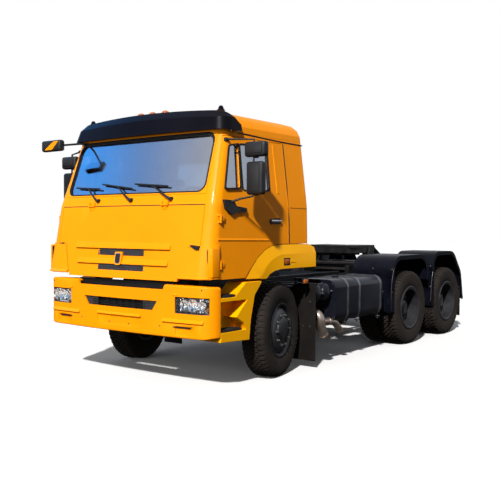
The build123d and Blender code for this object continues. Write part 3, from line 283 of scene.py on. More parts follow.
# Spots round a wheel's axis
def ringSpots(x, y, radius, count, shift=0.0):
    for n in range(count):
        angle = 2 * math.pi * (n + shift) / count
        yield x + radius * math.cos(angle), y, wheelZ + radius * math.sin(angle)


# Corners of a flat field that faces along x
def field(x, y0, y1, z0, z1):
    return [(x, y0, z0), (x, y1, z0), (x, y1, z1), (x, y0, z1)]


# Places at even steps from minus reach to reach
def evenly(reach, step):
    return range(-reach, reach + 1, step)


# A flat face through corners, which are rounded
def roundedFace(bm, corners, rounding, steps=5):
    verts = [bm.verts.new(corner) for corner in corners]
    bm.faces.new(verts)
    before = set(bm.verts) - set(verts)
    bmesh.ops.bevel(bm, geom=verts, offset=rounding, segments=steps, profile=0.5, affect="VERTICES",
                    material=-1, clamp_overlap=True)
    around = set(bm.verts) - before
    return next(face for face in bm.faces if set(face.verts) == around)


# A flat plate; thick goes against the face's normal
def addPlate(bm, corners, thick, rounding, steps=5):
    bmesh.ops.solidify(bm, geom=[roundedFace(bm, corners, rounding, steps)], thickness=thick)


# A flat ring between two rounded outlines with as many corners
def addRing(bm, outer, inner, outerRound, innerRound, steps=5):
    rims = []
    for corners, rounding in ((outer, outerRound), (inner, innerRound)):
        face = roundedFace(bm, corners, rounding, steps)
        rims += list(face.edges)
        bmesh.ops.delete(bm, geom=[face], context="FACES_ONLY")
    return bmesh.ops.bridge_loops(bm, edges=rims)["faces"]


# A closed prism: the face through corners carried along a line
def addPrism(bm, corners, along):
    face = bm.faces.new([bm.verts.new(corner) for corner in corners])
    made = bmesh.ops.extrude_face_region(bm, geom=[face])
    bmesh.ops.translate(bm, vec=along,
                        verts=[item for item in made["geom"] if isinstance(item, bmesh.types.BMVert)])


# A ledge along y: a slope down to z, an upright edge and a return to the skin
def addLedge(bm, y0, y1, z, rise, lift, edge=3, foot=5, sunk=3):
    addPrism(bm, [(-sunk, y0, z + rise), (lift, y0, z), (lift, y0, z - edge), (-sunk, y0, z - foot)],
             (0, y1 - y0, 0))


# Gives an open sheet a wall, away from the side it shows
def thicken(bm, way, thick, faces=None):
    faces = faces or bm.faces[:]
    bm.normal_update()
    if sum(face.normal.dot(Vector(way)) * face.calc_area() for face in faces) < 0:
        bmesh.ops.reverse_faces(bm, faces=faces)
        bm.normal_update()
    bmesh.ops.solidify(bm, geom=faces, thickness=thick)


# Cuts the mesh where it has to bend
def sliceAcross(bm, axis, spots):
    for spot in spots:
        plane, point = Vector((0, 0, 0)), Vector((0, 0, 0))
        plane[axis], point[axis] = 1.0, spot
        bmesh.ops.bisect_plane(bm, geom=bm.verts[:] + bm.edges[:] + bm.faces[:], plane_co=point,
                               plane_no=plane)


# Turns a front wheel's parts to the parked steering angle
def steerTurn(bm, side):
    turn = Matrix.Rotation(math.radians(truck["parkedSteer"]), 3, "Z")
    bmesh.ops.rotate(bm, cent=(0, side * truck["kingpinY"], 0), matrix=turn, verts=bm.verts)


def makePiece(name, mesh, body, material, angle):
    mesh.materials.clear()
    mesh.materials.append(material)
    mesh.shade_smooth()
    mesh.set_sharp_from_angle(angle=math.radians(angle))
    piece = bpy.data.objects.new(name, mesh)
    scene.collection.objects.link(piece)
    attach(piece, body)
    return piece


def finishPiece(name, bm, body, material, angle=32, turn=True, weld=0.02):
    if weld:
        bmesh.ops.remove_doubles(bm, verts=bm.verts, dist=weld)
    if turn:
        bmesh.ops.recalc_face_normals(bm, faces=bm.faces)
    bmesh.ops.transform(bm, matrix=toFrame, verts=bm.verts)
    mesh = bpy.data.meshes.new(name)
    bm.to_mesh(mesh)
    bm.free()
    return makePiece(name, mesh, body, material, angle)


# A piece of boxes alone, on one or both hands of the truck
def boxPiece(name, boxes, body, material, *hands):
    bm = bmesh.new()
    for side in hands or (1,):
        addBoxes(bm, boxes, side)
    finishPiece(name, bm, body, material)


# A bent tube through points, as a mesh
def tube(name, points, radius, body, material, smooth=True, facets=3):
    curve = bpy.data.curves.new(name, "CURVE")
    curve.dimensions = "3D"
    line = curve.splines.new("NURBS" if smooth else "POLY")
    line.points.add(len(points) - 1)
    for point, spot in zip(line.points, points):
        point.co = (*(toFrame @ Vector(spot)), 1.0)
    if smooth:
        line.order_u = 3
        line.use_endpoint_u = True
    curve.resolution_u = 8
    curve.bevel_depth = radius / 1000
    curve.bevel_resolution = facets
    curve.use_fill_caps = True
    holder = bpy.data.objects.new(name + "Line", curve)
    scene.collection.objects.link(holder)
    mesh = bpy.data.meshes.new_from_object(holder)
    bpy.data.objects.remove(holder)
    return makePiece(name, mesh, body, material, 40)


# A merged copy of a CAD node with softened edges, which stands for it; keep picks the points that stay
def refine(node, material, soft, keep=None, name=None):
    name = name or node + "Skin"
    bm = bmesh.new()
    bm.from_mesh(nodes[node].data)
    bmesh.ops.remove_doubles(bm, verts=bm.verts, dist=0.00005)
    if keep:
        lost = [vert for vert in bm.verts if not keep(fromFrame @ vert.co)]
        bmesh.ops.delete(bm, geom=lost, context="VERTS")
    bmesh.ops.dissolve_limit(bm, angle_limit=math.radians(0.4), use_dissolve_boundaries=False, verts=bm.verts,
                             edges=bm.edges, delimit={"NORMAL"})
    mesh = bpy.data.meshes.new(name)
    bm.to_mesh(mesh)
    bm.free()
    piece = makePiece(name, mesh, nodes[node]["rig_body"], material, 30)
    edge = piece.modifiers.new("softEdge", "BEVEL")
    edge.width = soft / 1000
    edge.segments = 2
    edge.limit_method = "ANGLE"
    edge.angle_limit = math.radians(40)
    edge.harden_normals = True
    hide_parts(node)
    return piece


# The cab's skin, which trim follows: height, then front x, crown, corner radius and half width there
cabLevels = [(1108.0, 1334.0, 18.0, 120.0, 1228.0), (1900.0, 1214.0, 34.0, 120.0, 1210.0),
             (2030.0, 1182.0, 42.0, 120.0, 1196.0), (2654.0, 968.0, 36.0, 110.0, 1115.0)]


def cabAt(z):
    for low, high in zip(cabLevels, cabLevels[1:]):
        if z <= high[0] or high is cabLevels[-1]:
            share = (z - low[0]) / (high[0] - low[0])
            return [a + (b - a) * share for a, b in zip(low[1:], high[1:])]


# X of a crowned front with round corners
def crownedX(y, front, crown, corner, half):
    flat = half - corner
    if abs(y) <= flat:
        return front - crown * (y / flat) ** 2
    across = min(abs(y) - flat, corner)
    return front - crown - corner + math.sqrt(corner ** 2 - across ** 2)


def frontX(y, z):
    return crownedX(y, *cabAt(z))


def sideY(z):
    return cabAt(z)[3]


# Lays a piece on the cab's front: its x is lift from the skin before this
def layOnFront(name, bm, body, material, cuts, wall=0.0):
    sliceAcross(bm, 1, cuts)
    for vert in bm.verts:
        vert.co.x += frontX(vert.co.y, vert.co.z)
    if wall:
        thicken(bm, (1, 0, 0), wall)
    return finishPiece(name, bm, body, material, turn=not wall)


# Lays a piece on the cab's side: its y is lift from the skin before this
def layOnSide(name, bm, side, body, material, wall=0.0, angle=32):
    for vert in bm.verts:
        vert.co.y = side * (sideY(vert.co.z) + vert.co.y)
    if wall:
        thicken(bm, (0, side, 0), wall)
    return finishPiece(name, bm, body, material, angle=angle, turn=not wall)


print("helpers ready")


# Shells of the CAD's nodes, each with the width of its soft edges
paintedShells = {"cab_front": 2.5, "cab_sides": 3, "cab_rear": 3, "cab_roof": 4, "front_lid": 3,
                 "door_left": 2, "door_right": 2, "bumper": 4}
darkShells = {"sun_visor": (navyGloss, 2), "mudguards_left": (guardNavy, 3),
              "mudguards_right": (guardNavy, 3), "fuel_tank": (tankBlack, 4), "second_tank": (tankBlack, 4),
              "battery_box": (plasticBlack, 5), "air_tanks": (tankBlack, 3), "mud_flaps": (flapRubber, 3),
              "frame_rail_left": (frameBlack, 4), "frame_rail_right": (frameBlack, 4),
              "crossmembers": (frameBlack, 3), "front_brackets": (frameBlack, 4),
              "engine_block": (castIron, 12), "front_axle": (castIron, 4), "bogie": (castIron, 4),
              "driveshafts": (castIron, 3), "fifth_wheel_base": (greasySteel, 4),
              "fifth_wheel_plate": (greasySteel, 3), "cab_floor": (floorMat, 4),
              "dashboard": (dashPlastic, 6)}
bareNodes = {screenGlass: ("windscreen",), sideGlass: ("door_glass_left", "door_glass_right"),
             rearClear: ("rear_glass",), castIron: ("knuckle_left", "knuckle_right", "tie_rod"),
             rimGrey: ("mid_wheels_left", "mid_wheels_right", "rear_wheels_left", "rear_wheels_right"),
             redLens: ("tail_lamps",)}
wings = {"archFront": 800.0, "cornerRear": 700.0, "soft": 4, "stepSoft": 6}
shells = {node: refine(node, cabYellow, soft) for node, soft in paintedShells.items()}
refine("cab_wings", cabYellow, wings["soft"], keep=lambda spot: spot.x > wings["cornerRear"])
# The wheel arches and step fairings take the lighter yellow, which is painted light
refine("cab_wings", paintedLightYellow, wings["soft"], keep=lambda spot: spot.x < wings["archFront"],
       name="wheelArches")
refine("step_fairings", paintedLightYellow, wings["stepSoft"])
for node, (material, soft) in darkShells.items():
    shells[node] = refine(node, material, soft)
for material, names in bareNodes.items():
    for node in names:
        nodes[node].data.materials.clear()
        nodes[node].data.materials.append(material)
print("shells ready")


# Windscreen: its rubber and the painted field round it, with corners as (y, z)
screen = {"low": (1052, 2026), "high": (1026, 2652), "lowIn": (1036, 2038), "highIn": (1010, 2618),
          "round": 98.0, "roundIn": 90.0, "proud": 8.0, "wall": 20.0, "cuts": (1040, 80)}
surround = {"half": 1040.0, "middle": 2300.0, "wide": 16.0, "above": 3.0, "proud": 5.0, "round": 12.0,
            "wall": 14.0}


# Corners of a mirrored outline, as (lift, y, z)
def mirrored(low, high, lift):
    return [(lift, -low[0], low[1]), (lift, low[0], low[1]), (lift, high[0], high[1]),
            (lift, -high[0], high[1])]


bm = bmesh.new()
addRing(bm, mirrored(screen["low"], screen["high"], screen["proud"]),
        mirrored(screen["lowIn"], screen["highIn"], screen["proud"]), screen["round"], screen["roundIn"], 7)
layOnFront("screenRubber", bm, "cab", gasketRubber, evenly(*screen["cuts"]), screen["wall"])
bm = bmesh.new()
opening = mirrored(screen["low"], screen["high"], surround["proud"])
border = [(lift, y * (1 + surround["wide"] / surround["half"]),
           z + (surround["above"] if z > surround["middle"] else -surround["wide"]))
          for lift, y, z in opening]
addRing(bm, border, opening, surround["round"], screen["round"], 7)
layOnFront("screenSurround", bm, "cab", cabYellow, evenly(*screen["cuts"]), surround["wall"])

# Rubbers of the door's panes, outlines as (x, z)
pane = {"quarter": [(892, 2512), (714, 2542), (752, 2066), (1026, 2050)],
        "quarterIn": [(880, 2500), (727, 2528), (765, 2080), (1008, 2064)],
        "main": [(700, 2545), (204, 2563), (229, 2061), (717, 2047)],
        "mainIn": [(687, 2531), (218, 2549), (243, 2075), (703, 2061)],
        "lift": 5.0, "round": 30.0, "roundIn": 22.0, "wall": 16.0}
for side, label in sides:
    bm = bmesh.new()
    for key in ("quarter", "main"):
        outer, inner = ([(x, pane["lift"], z) for x, z in pane[outline]] for outline in (key, key + "In"))
        addRing(bm, outer, inner, pane["round"], pane["roundIn"])
    layOnSide("windowRubber_" + label, bm, side, "door_" + label, gasketRubber, pane["wall"])

# Rubbers of the rear windows
rearRubber = {"x": -507.0, "inner": 300.0, "outer": 850.0, "low": 2170.0, "high": 2500.0, "overlap": 14.0,
              "wide": 34.0, "round": 60.0, "roundIn": 42.0, "wall": 18.0}
for side, label in sides:
    outer, inner = (field(rearRubber["x"], side * (rearRubber["inner"] - grow),
                          side * (rearRubber["outer"] + grow), rearRubber["low"] - grow,
                          rearRubber["high"] + grow)
                    for grow in (rearRubber["wide"] - rearRubber["overlap"], -rearRubber["overlap"]))
    bm = bmesh.new()
    addRing(bm, outer, inner, rearRubber["round"], rearRubber["roundIn"], 6)
    thicken(bm, (-1, 0, 0), rearRubber["wall"])
    finishPiece("rearRubber_" + label, bm, "cab", gasketRubber, turn=False)

# Ledges (z, y from and to, rise, lift) with painted shadow bands under them, and slatted strips (z and y from
# and to)
lidTrim = {"ledges": ((1447, -752, 702, 70, 20), (1281, -701, 688, 60, 19)), "ledgeCuts": (750, 60),
           "strips": ((1368, 1444, -372, 324), (1210, 1302, -350, 350)), "stripCuts": (320, 80), "slats": 4,
           "shadowBand": (-19, -4), "shadowBandLift": 3, "endGap": 6, "stripGap": 4}
bm = bmesh.new()
for z, y0, y1, rise, lift in lidTrim["ledges"]:
    addLedge(bm, y0, y1, z, rise, lift, sunk=2)
layOnFront("lidLedges", bm, "front_lid", cabYellow, evenly(*lidTrim["ledgeCuts"]))
# Dark orange bands just under the ledges: painted shadow of the ledges
bm = bmesh.new()
for (z, y0, y1, _, _), (_, _, near, far) in zip(lidTrim["ledges"], lidTrim["strips"]):
    for start, end in ((y0 + lidTrim["endGap"], near - lidTrim["stripGap"]),
                       (far + lidTrim["stripGap"], y1 - lidTrim["endGap"])):
        low, high = lidTrim["shadowBand"]
        addPlate(bm, field(lidTrim["shadowBandLift"], start, end, z + low, z + high), 4.0, 6.0, 2)
layOnFront("lidPaintedShadow", bm, "front_lid", paintedShadowOrange, evenly(*lidTrim["ledgeCuts"]))
for n, (low, high, y0, y1) in enumerate(lidTrim["strips"]):
    bm = bmesh.new()
    addPlate(bm, field(0, y0, y1, low, high), 8.0, 6.0, 2)
    for slat in range(lidTrim["slats"]):
        z = low + (high - low) * (slat + 0.5) / lidTrim["slats"]
        addBox(bm, -2, 7, y0 + 8, y1 - 8, z - 3, z + 3, 1.5, 1)
    layOnFront("lidStrip_%d" % n, bm, "front_lid", plasticGrey, evenly(*lidTrim["stripCuts"]))

# The bare badge: a field, a rim and a plate, as (name, growth, lift, material)
badge = {"y": -22, "z": 1338, "half": 37, "tall": 54, "shoulder": 0.7, "foot": 0.6,
         "layers": (("badgeField", 16, 24, cabYellow), ("badgeRim", 2, 28, badgeSilver),
                    ("badgePlate", -4, 31, plasticBlack))}
for name, grow, lift, material in badge["layers"]:
    bm = bmesh.new()
    y, z, half, tall = badge["y"], badge["z"], badge["half"] + grow, badge["tall"] + grow
    shoulder, foot = z - tall * badge["shoulder"], half * badge["foot"]
    addPlate(bm, [(0, y - half, z + tall), (0, y + half, z + tall), (0, y + half, shoulder),
                  (0, y + foot, z - tall), (0, y - foot, z - tall), (0, y - half, shoulder)], lift, 9.0, 3)
    face = max(vert.co.x for vert in bm.verts)
    for vert in bm.verts:
        vert.co.x += lift - face + frontX(y, vert.co.z)
    finishPiece(name, bm, "front_lid", material)

# Dark joints between the cab's panels: thickness and (x, z) points of each
joints = {"roofJoint": (7.0, [(700, 2652), (652, 2651), (300, 2639), (-53, 2628), (-490, 2622)]),
          "pillarJoint": (6.5, [(-97, 2604), (-95, 2400), (-95, 2129), (-96, 1800), (-97, 1496)]),
          "rearPanelJoint": (2.2, [(-115, 1892), (-300, 1891), (-464, 1890)])}
for side, label in sides:
    for key, (thick, route) in joints.items():
        points = [(x, side * (sideY(z) + 0.5), z) for x, z in route]
        tube("%s_%s" % (key, label), points, thick, "cab", gasketRubber, smooth=False)

# Pressed lines on each door, from (x, z) to (x, z) with a section of (lift, height): a diagonal crease and a
# low line; the raised strip behind the window goes from z to z with a section of (x, lift)
doorTrim = {"crease": ((790, 1826), (252, 1536)), "creaseSection": ((-3, 4), (6, -2), (-3, -34)),
            "lowLine": ((1146, 1545), (290, 1534)), "lowLineSection": ((-3, 26), (7, 2), (7, 0), (-3, -3)),
            "strip": (2046, 2576), "stripSection": ((118, -3), (108, 5), (72, 5), (62, -3)),
            "cuts": (1900, 2030)}
for side, label in sides:
    bm = bmesh.new()
    for key in ("crease", "lowLine"):
        (x0, z0), (x1, z1) = doorTrim[key]
        addPrism(bm, [(x0, lift, z0 + up) for lift, up in doorTrim[key + "Section"]], (x1 - x0, 0, z1 - z0))
    low, high = doorTrim["strip"]
    addPrism(bm, [(x, lift, low) for x, lift in doorTrim["stripSection"]], (0, 0, high - low))
    sliceAcross(bm, 2, doorTrim["cuts"])
    layOnSide("doorPressings_" + label, bm, side, "door_" + label, cabYellow, angle=20)

# Lamp recess and arrow on each wheel arch
archTrim = {"frame": (40, -78, 1240, 1248, 1256, 1337), "lamp": (-66, 28, 1240, 1251, 1268, 1325, 5, 2),
            "arrow": [(-86, 1306), (-196, 1290), (-198, 1284), (-86, 1284)], "arrowFace": 1240,
            "arrowThick": 9}
for side, label in sides:
    boxPiece("archLampFrame_" + label, [archTrim["frame"]], "cab", gasketRubber, side)
    boxPiece("archLamp_" + label, [archTrim["lamp"]], "cab", orangeLens, side)
    # The arrow takes the arches' lighter yellow, which is painted light
    bm = bmesh.new()
    addPrism(bm, [(x, side * archTrim["arrowFace"], z) for x, z in archTrim["arrow"]],
             (0, side * archTrim["arrowThick"], 0))
    finishPiece("archArrow_" + label, bm, "cab", paintedLightYellow)

# Door handles in their bowls, all from one spot
handle = {"x": 168, "z": 1742, "bowl": ((-108, -30), (100, -36), (110, 20), (-96, 36)), "bowlLift": 3,
          "lever": (-96, 88), "leverLift": (12, 27), "leverHalf": 13, "posts": (-76, 70),
          "postLift": (-1, 16)}
for side, label in sides:
    x, z = handle["x"], handle["z"]
    bm = bmesh.new()
    addPlate(bm, [(x + along, handle["bowlLift"], z + up) for along, up in handle["bowl"]], 5.0, 22.0)
    layOnSide("handleBowl_" + label, bm, side, "door_" + label, plasticBlack)
    bm = bmesh.new()
    start, end = (x + along for along in handle["lever"])
    back, front = (side * (sideY(z) + lift) for lift in handle["leverLift"])
    addBox(bm, start, end, back, front, z - handle["leverHalf"], z + handle["leverHalf"], 6.0, 3)
    back, front = (side * (sideY(z) + lift) for lift in handle["postLift"])
    for post in handle["posts"]:
        addRod(bm, (x + post, back, z), (x + post, front, z), 10)
    finishPiece("handleLever_" + label, bm, "door_" + label, badgeSilver)
print("cab trim ready")

# Mirrors: bracket on the door, two heads (y and z from and to) on a bowed arm, and their glass
mirror = {"heads": ((1298, 1561, 2380, 2533), (1324, 1530, 2000, 2333)), "headX": (756, 842),
          "backX": (836, 850), "backInset": 34, "clampX": (752, 770), "clampZ": (-9, 30), "clampHalf": 30,
          "glassX": (753, 762), "glassInset": 16, "armY": 1400, "armRadius": 11.0,
          "arm": ((940, 1228, 1930), (888, 1300, 1960), (820, 1400, 1985), (806, 1400, 2250),
                  (800, 1400, 2556), (905, 1122, 2566)),
          "foot": ((872, 924, 1106, 1136, 2548, 2584, 6.0, 2), (882, 914, 1126, 1148, 2554, 2578, 5.0, 2))}
bracket = {"plate": ((1062, 1950), (905, 1944), (868, 1888), (700, 1872), (690, 1832), (860, 1826),
                     (930, 1796), (1040, 1858)), "thick": 26.0, "round": 9.0,
           "tooth": (716, 730, 24, 30, 1844, 1858), "teeth": 5, "pitch": 26}
for side, label in sides:
    bm = bmesh.new()
    roundedFace(bm, [(x, bracket["thick"], z) for x, z in bracket["plate"]], bracket["round"], 3)
    thicken(bm, (0, 1, 0), bracket["thick"])
    for n in range(bracket["teeth"]):
        x0, x1, *rest = bracket["tooth"]
        addBox(bm, x0 + bracket["pitch"] * n, x1 + bracket["pitch"] * n, *rest, 2, 1)
    layOnSide("mirrorBracket_" + label, bm, side, "door_" + label, plasticBlack)
    heads, glass = bmesh.new(), bmesh.new()
    for y0, y1, z0, z1 in mirror["heads"]:
        inset, edge = mirror["backInset"], mirror["glassInset"]
        middle, half = mirror["armY"], mirror["clampHalf"]
        addBoxes(heads, [(*mirror["headX"], y0, y1, z0, z1, 30.0, 4),
                         (*mirror["backX"], y0 + inset, y1 - inset, z0 + inset, z1 - inset, 6.0, 2),
                         (*mirror["clampX"], middle - half, middle + half, z0 + mirror["clampZ"][0],
                          z0 + mirror["clampZ"][1], 6.0, 2)], side)
        addBoxes(glass, [(*mirror["glassX"], y0 + edge, y1 - edge, z0 + edge, z1 - edge, 4.0, 2)], side)
    piece = finishPiece("mirrorHeads_" + label, heads, "door_" + label, plasticBlack)
    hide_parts("door_mirror_" + label)
    finishPiece("mirrorGlass_" + label, glass, "door_" + label, mirrorSilver)
    route = [(x, side * y, z) for x, y, z in mirror["arm"]]
    tube("mirrorArm_" + label, route, mirror["armRadius"], "door_" + label, plasticBlack, smooth=False,
         facets=4)
    boxPiece("mirrorFoot_" + label, mirror["foot"], "door_" + label, plasticBlack, side)

# Sun visor details: side knobs, roof lamps and screws
visorTrim = {"knobs": ((820, 985, 2905), (820, -985, 2905)),
             "knob": [(0, 26), (14, 24), (24, 12), (30, -8), (46, -26), (0, -26)],
             "lamps": ((814, -184, 2925), (814, -2, 2925), (814, 190, 2925)),
             "lamp": [(0, 26), (20, 24), (38, 12), (46, -6), (48, -22), (0, -22)],
             "screws": ((840, 1135, 2664), (725, 1135, 2666))}
for name, spots, profile, steps, material in (
        ("visorKnobs", visorTrim["knobs"], visorTrim["knob"], 24, navyGloss),
        ("roofLamps", visorTrim["lamps"], visorTrim["lamp"], 28, orangeLens)):
    bm = bmesh.new()
    for spot in spots:
        addTurned(bm, profile, spot, "Z", 1, steps)
    finishPiece(name, bm, "cab", material)
bm = bmesh.new()
for x, y, z in visorTrim["screws"]:
    for side, _ in sides:
        addBolt(bm, (x, side * y, z), "Y", side, 8.0, 5.0)
finishPiece("visorScrews", bm, "cab", boltSteel)
print("mirrors and visor ready")


# Tyres: a turned carcass, as (radius, from the middle), with tread blocks; lug is the section of a shoulder
# block, as (from the middle, radius)
tyre = {"radius": 525.0, "pitches": 52, "blockDeep": 17.0, "blockSunk": 0.5,
        "carcass": [(286, 105), (297, 117), (318, 124), (322, 122), (330, 127), (372, 137), (420, 141),
                    (452, 140), (456, 137), (462, 139), (486, 133), (502, 124), (511, 108), (511, 0)],
        "lug": ((68, 507), (68, 525), (104, 524), (125, 508), (139, 474), (131, 472), (112, 500))}
# Blocks of one pitch as (y from and to, start, length), and how long a shoulder block is
treads = {"front": ([(4, 24, 0, 44), (31, 60, 22, 42)], 34), "pair": ([(5, 30, 0, 36), (37, 61, 26, 34)], 30)}
# Each axle's x, the middles of its tyres, its tread and what its nodes and bodies are called
axles = {"front": (0.0, (trackY,), "front", "front_tyre_", "front_wheel_"),
         "mid": (truck["midX"], truck["pairY"], "pair", "mid_tyres_", "mid_wheels_"),
         "rear": (truck["rearX"], truck["pairY"], "pair", "rear_tyres_", "rear_wheels_")}


# One pitch of tread at the top of the tyre, then the same all round it
def addTread(bm, x, y, rows, lug):
    count = tyre["pitches"]
    pitch = 2 * math.pi * tyre["radius"] / count
    top = wheelZ + tyre["radius"]
    old = set(bm.verts)
    for side, _ in sides:
        stagger = 0 if side > 0 else pitch / 2
        for low, high, start, length in rows:
            addBox(bm, x + start + stagger, x + start + stagger + length, y + side * low, y + side * high,
                   top - tyre["blockDeep"], top - tyre["blockSunk"], 2.0, 1)
        addPrism(bm, [(x + stagger, y + side * across, wheelZ + radius) for across, radius in tyre["lug"]],
                 (lug, 0, 0))
    fresh = [vert for vert in bm.verts if vert not in old]
    geom = fresh + list({edge for vert in fresh for edge in vert.link_edges})
    geom += list({face for vert in fresh for face in vert.link_faces})
    bmesh.ops.spin(bm, geom=geom, cent=(x, y, wheelZ), axis=axisLines["Y"], dvec=(0, 0, 0),
                   angle=2 * math.pi * (count - 1) / count, steps=count - 1, use_duplicate=True)


carcass = tyre["carcass"] + [(r, -a) for r, a in tyre["carcass"][-2::-1]]
for place, (x, middles, tread, node, body) in axles.items():
    for side, label in sides:
        bm = bmesh.new()
        for middle in middles:
            addTurned(bm, carcass, (x, side * middle, wheelZ), "Y", side, 96, closed=True)
            addTread(bm, x, side * middle, *treads[tread])
        bmesh.ops.remove_doubles(bm, verts=bm.verts, dist=0.05)
        bmesh.ops.recalc_face_normals(bm, faces=bm.faces)
        if place == "front":
            steerTurn(bm, side)
        piece = finishPiece("%sTyre_%s" % (place, label), bm, body + label, tyreRubber, turn=False, weld=0)
        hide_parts(node + label)
print("tyres ready")

# Front wheels: rim, bulged disc, hub, nuts and a flat cap, with profiles as (radius, outwards from the tyre's
# middle); studs and nuts as their ring's radius and start outwards
frontWheel = {"rim": [(268, -127), (303, -127), (303, -120), (287, -116), (287, 116), (303, 120), (303, 127),
                      (290, 127), (276, 112), (266, 96), (262, 60), (262, -60), (268, -100)],
              "disc": [(265, 30), (265, 74), (259, 88), (249, 96), (240, 104), (230, 118), (214, 131),
                       (198, 138), (150, 140), (90, 140), (90, 126), (186, 124), (214, 98), (226, 60),
                       (244, 30)],
              "cap": [(0, 170), (70, 169), (118, 164), (138, 156), (146, 146), (148, 136), (60, 130),
                      (0, 130)],
              "hub": [(0, 120), (94, 120), (94, -46), (205, -46), (205, -115), (60, -115), (46, -50),
                      (0, -50)],
              "count": 10, "rimStuds": (251, 54), "rimStud": ((36, 9, 9, 8),),
              "nuts": (171, 140), "nut": ((5, 18, 18, 20), (20, 15, 13, 6), (28, 8, 8, 10))}
for side, label in sides:
    centre = (0.0, side * trackY, wheelZ)
    rim, cap, nuts = bmesh.new(), bmesh.new(), bmesh.new()
    addTurned(rim, frontWheel["rim"], centre, "Y", side, 72, closed=True)
    addTurned(rim, frontWheel["disc"], centre, "Y", side, 72, closed=True)
    addTurned(rim, frontWheel["hub"], centre, "Y", side)
    radius, out = frontWheel["rimStuds"]
    for spot in ringSpots(0.0, side * (trackY + out), radius, frontWheel["count"], 0.5):
        addStud(rim, spot, side, frontWheel["rimStud"])
    addTurned(cap, frontWheel["cap"], centre, "Y", side, 56)
    radius, out = frontWheel["nuts"]
    for spot in ringSpots(0.0, side * (trackY + out), radius, frontWheel["count"]):
        addStud(nuts, spot, side, frontWheel["nut"])
    for bm in (rim, cap):
        bmesh.ops.recalc_face_normals(bm, faces=bm.faces)
    for bm in (rim, cap, nuts):
        steerTurn(bm, side)
    piece = finishPiece("frontRim_" + label, rim, "front_wheel_" + label, rimGrey, turn=False)
    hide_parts("front_wheel_" + label)
    finishPiece("hubCap_" + label, cap, "front_wheel_" + label, hubBlack, turn=False)
    finishPiece("frontNuts_" + label, nuts, "front_wheel_" + label, boltSteel)

# Rear wheels: nuts in the dish, flange screws and the rims' locking rings
rearWheel = {"count": 10, "nuts": (958, 167.5), "nut": ((28, 17, 15, 6), (42, 9, 9, 10)),
             "screws": (1103, 88),
             "ring": [(303, 127), (308, 123), (308, 131), (301, 136), (286, 134), (276, 124), (284, 120)]}
for place in ("mid", "rear"):
    x, (innerY, outerY), _, _, body = axles[place]
    for side, label in sides:
        bm = bmesh.new()
        y, radius = rearWheel["nuts"]
        for spot in ringSpots(x, side * y, radius, rearWheel["count"]):
            addStud(bm, spot, side, rearWheel["nut"])
        y, radius = rearWheel["screws"]
        for spot in ringSpots(x, side * y, radius, rearWheel["count"]):
            addBolt(bm, spot, "Y", side, 8, 8)
        finishPiece("%sNuts_%s" % (place, label), bm, body + label, nutDark)
        bm = bmesh.new()
        for middle, way in ((outerY, side), (innerY, -side)):
            addTurned(bm, rearWheel["ring"], (x, side * middle, wheelZ), "Y", way, 72, closed=True)
        finishPiece("%sLockRings_%s" % (place, label), bm, body + label, rimGrey)
print("wheels ready")


# The front bumper's face, which its trim follows
bumperShape = {"front": 1340.0, "crown": 48.0, "corner": 160.0, "half": 1245.0}


def bumperX(y):
    return crownedX(y, **bumperShape)


# Lays a piece on the bumper: its x is lift from the face before this
def wrapBumper(bm, lift=0.0, side=1):
    for vert in bm.verts:
        vert.co.x += bumperX(vert.co.y) + lift
        vert.co.y *= side


# Headlamps: a dark frame, the clear cover, three round reflectors and a ribbed bright bowl
lamp = {"y": (796, 1198), "z": (808, 975), "frameX": (-8, -14), "frameInset": (14, 12), "frameWall": 40.0,
        "frameCuts": range(840, 1190, 35), "coverInset": 4, "coverLift": -12,
        "coverCuts": range(820, 1190, 20), "backX": (1196, 1204), "backInset": 6, "roundX": 1262,
        "roundZ": 892, "rounds": ((884, 52), (1000, 62), (1116, 46)),
        "bulb": [(0, 4), (9, 0), (13, -14), (13, -46)], "ribs": 18, "ribPitch": 22, "ribX": (1206, 1238),
        "ribHalf": (9, 17), "ribInset": 30, "amber": (1212, 1236, 1128, 1176, 830, 872, 8, 2)}
(inner, outer), (low, high) = lamp["y"], lamp["z"]
for side, label in sides:
    bm = bmesh.new()
    front, back = lamp["frameX"]
    across, up = lamp["frameInset"]
    addRing(bm, field(front, inner, outer, low, high),
            field(back, inner + across, outer - across, low + up, high - up), 10, 16, 3)
    sliceAcross(bm, 1, lamp["frameCuts"])
    wrapBumper(bm, side=side)
    thicken(bm, (1, 0, 0), lamp["frameWall"])
    finishPiece("lampFrame_" + label, bm, "chassis", plasticBlack, turn=False)
    bm = bmesh.new()
    edge = lamp["coverInset"]
    addPlate(bm, field(0, inner + edge, outer - edge, low + edge, high - edge), 4, 10, 3)
    sliceAcross(bm, 1, lamp["coverCuts"])
    wrapBumper(bm, lamp["coverLift"], side)
    cover = finishPiece("lampCover_" + label, bm, "chassis", clearLens)
    if side == 1:
        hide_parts("headlamps")
    bm = bmesh.new()
    edge = lamp["backInset"]
    addBoxes(bm, [(*lamp["backX"], inner + edge, outer - edge, low + edge, high - edge)], side)
    for y, radius in lamp["rounds"]:
        centre = (lamp["roundX"], side * y, lamp["roundZ"])
        bowl = [(0, -52), (radius * 0.45, -46), (radius * 0.78, -28), (radius, 0), (radius + 5, 4),
                (radius + 9, 0), (radius + 9, -50)]
        addTurned(bm, bowl, centre, "X", 1, 36)
        addTurned(bm, lamp["bulb"], centre, "X", 1, 20)
    for n in range(lamp["ribs"]):
        y = side * (inner + across + n * lamp["ribPitch"])
        tilt = Matrix.Rotation(0.5 if n % 2 else -0.4, 4, "Z") @ Matrix.Rotation(0.25 * ((n % 3) - 1), 4, "Y")
        back, front = lamp["ribX"]
        half, tall = lamp["ribHalf"]
        for z in (low + lamp["ribInset"], high - lamp["ribInset"]):
            addBox(bm, back, front - 10 * (n % 3), y - half, y + half, z - tall, z + tall, 3, 1, tilt)
    finishPiece("lampBowls_" + label, bm, "chassis", chromeBowl)
boxPiece("lampAmber", [lamp["amber"]], "chassis", orangeLens, 1, -1)

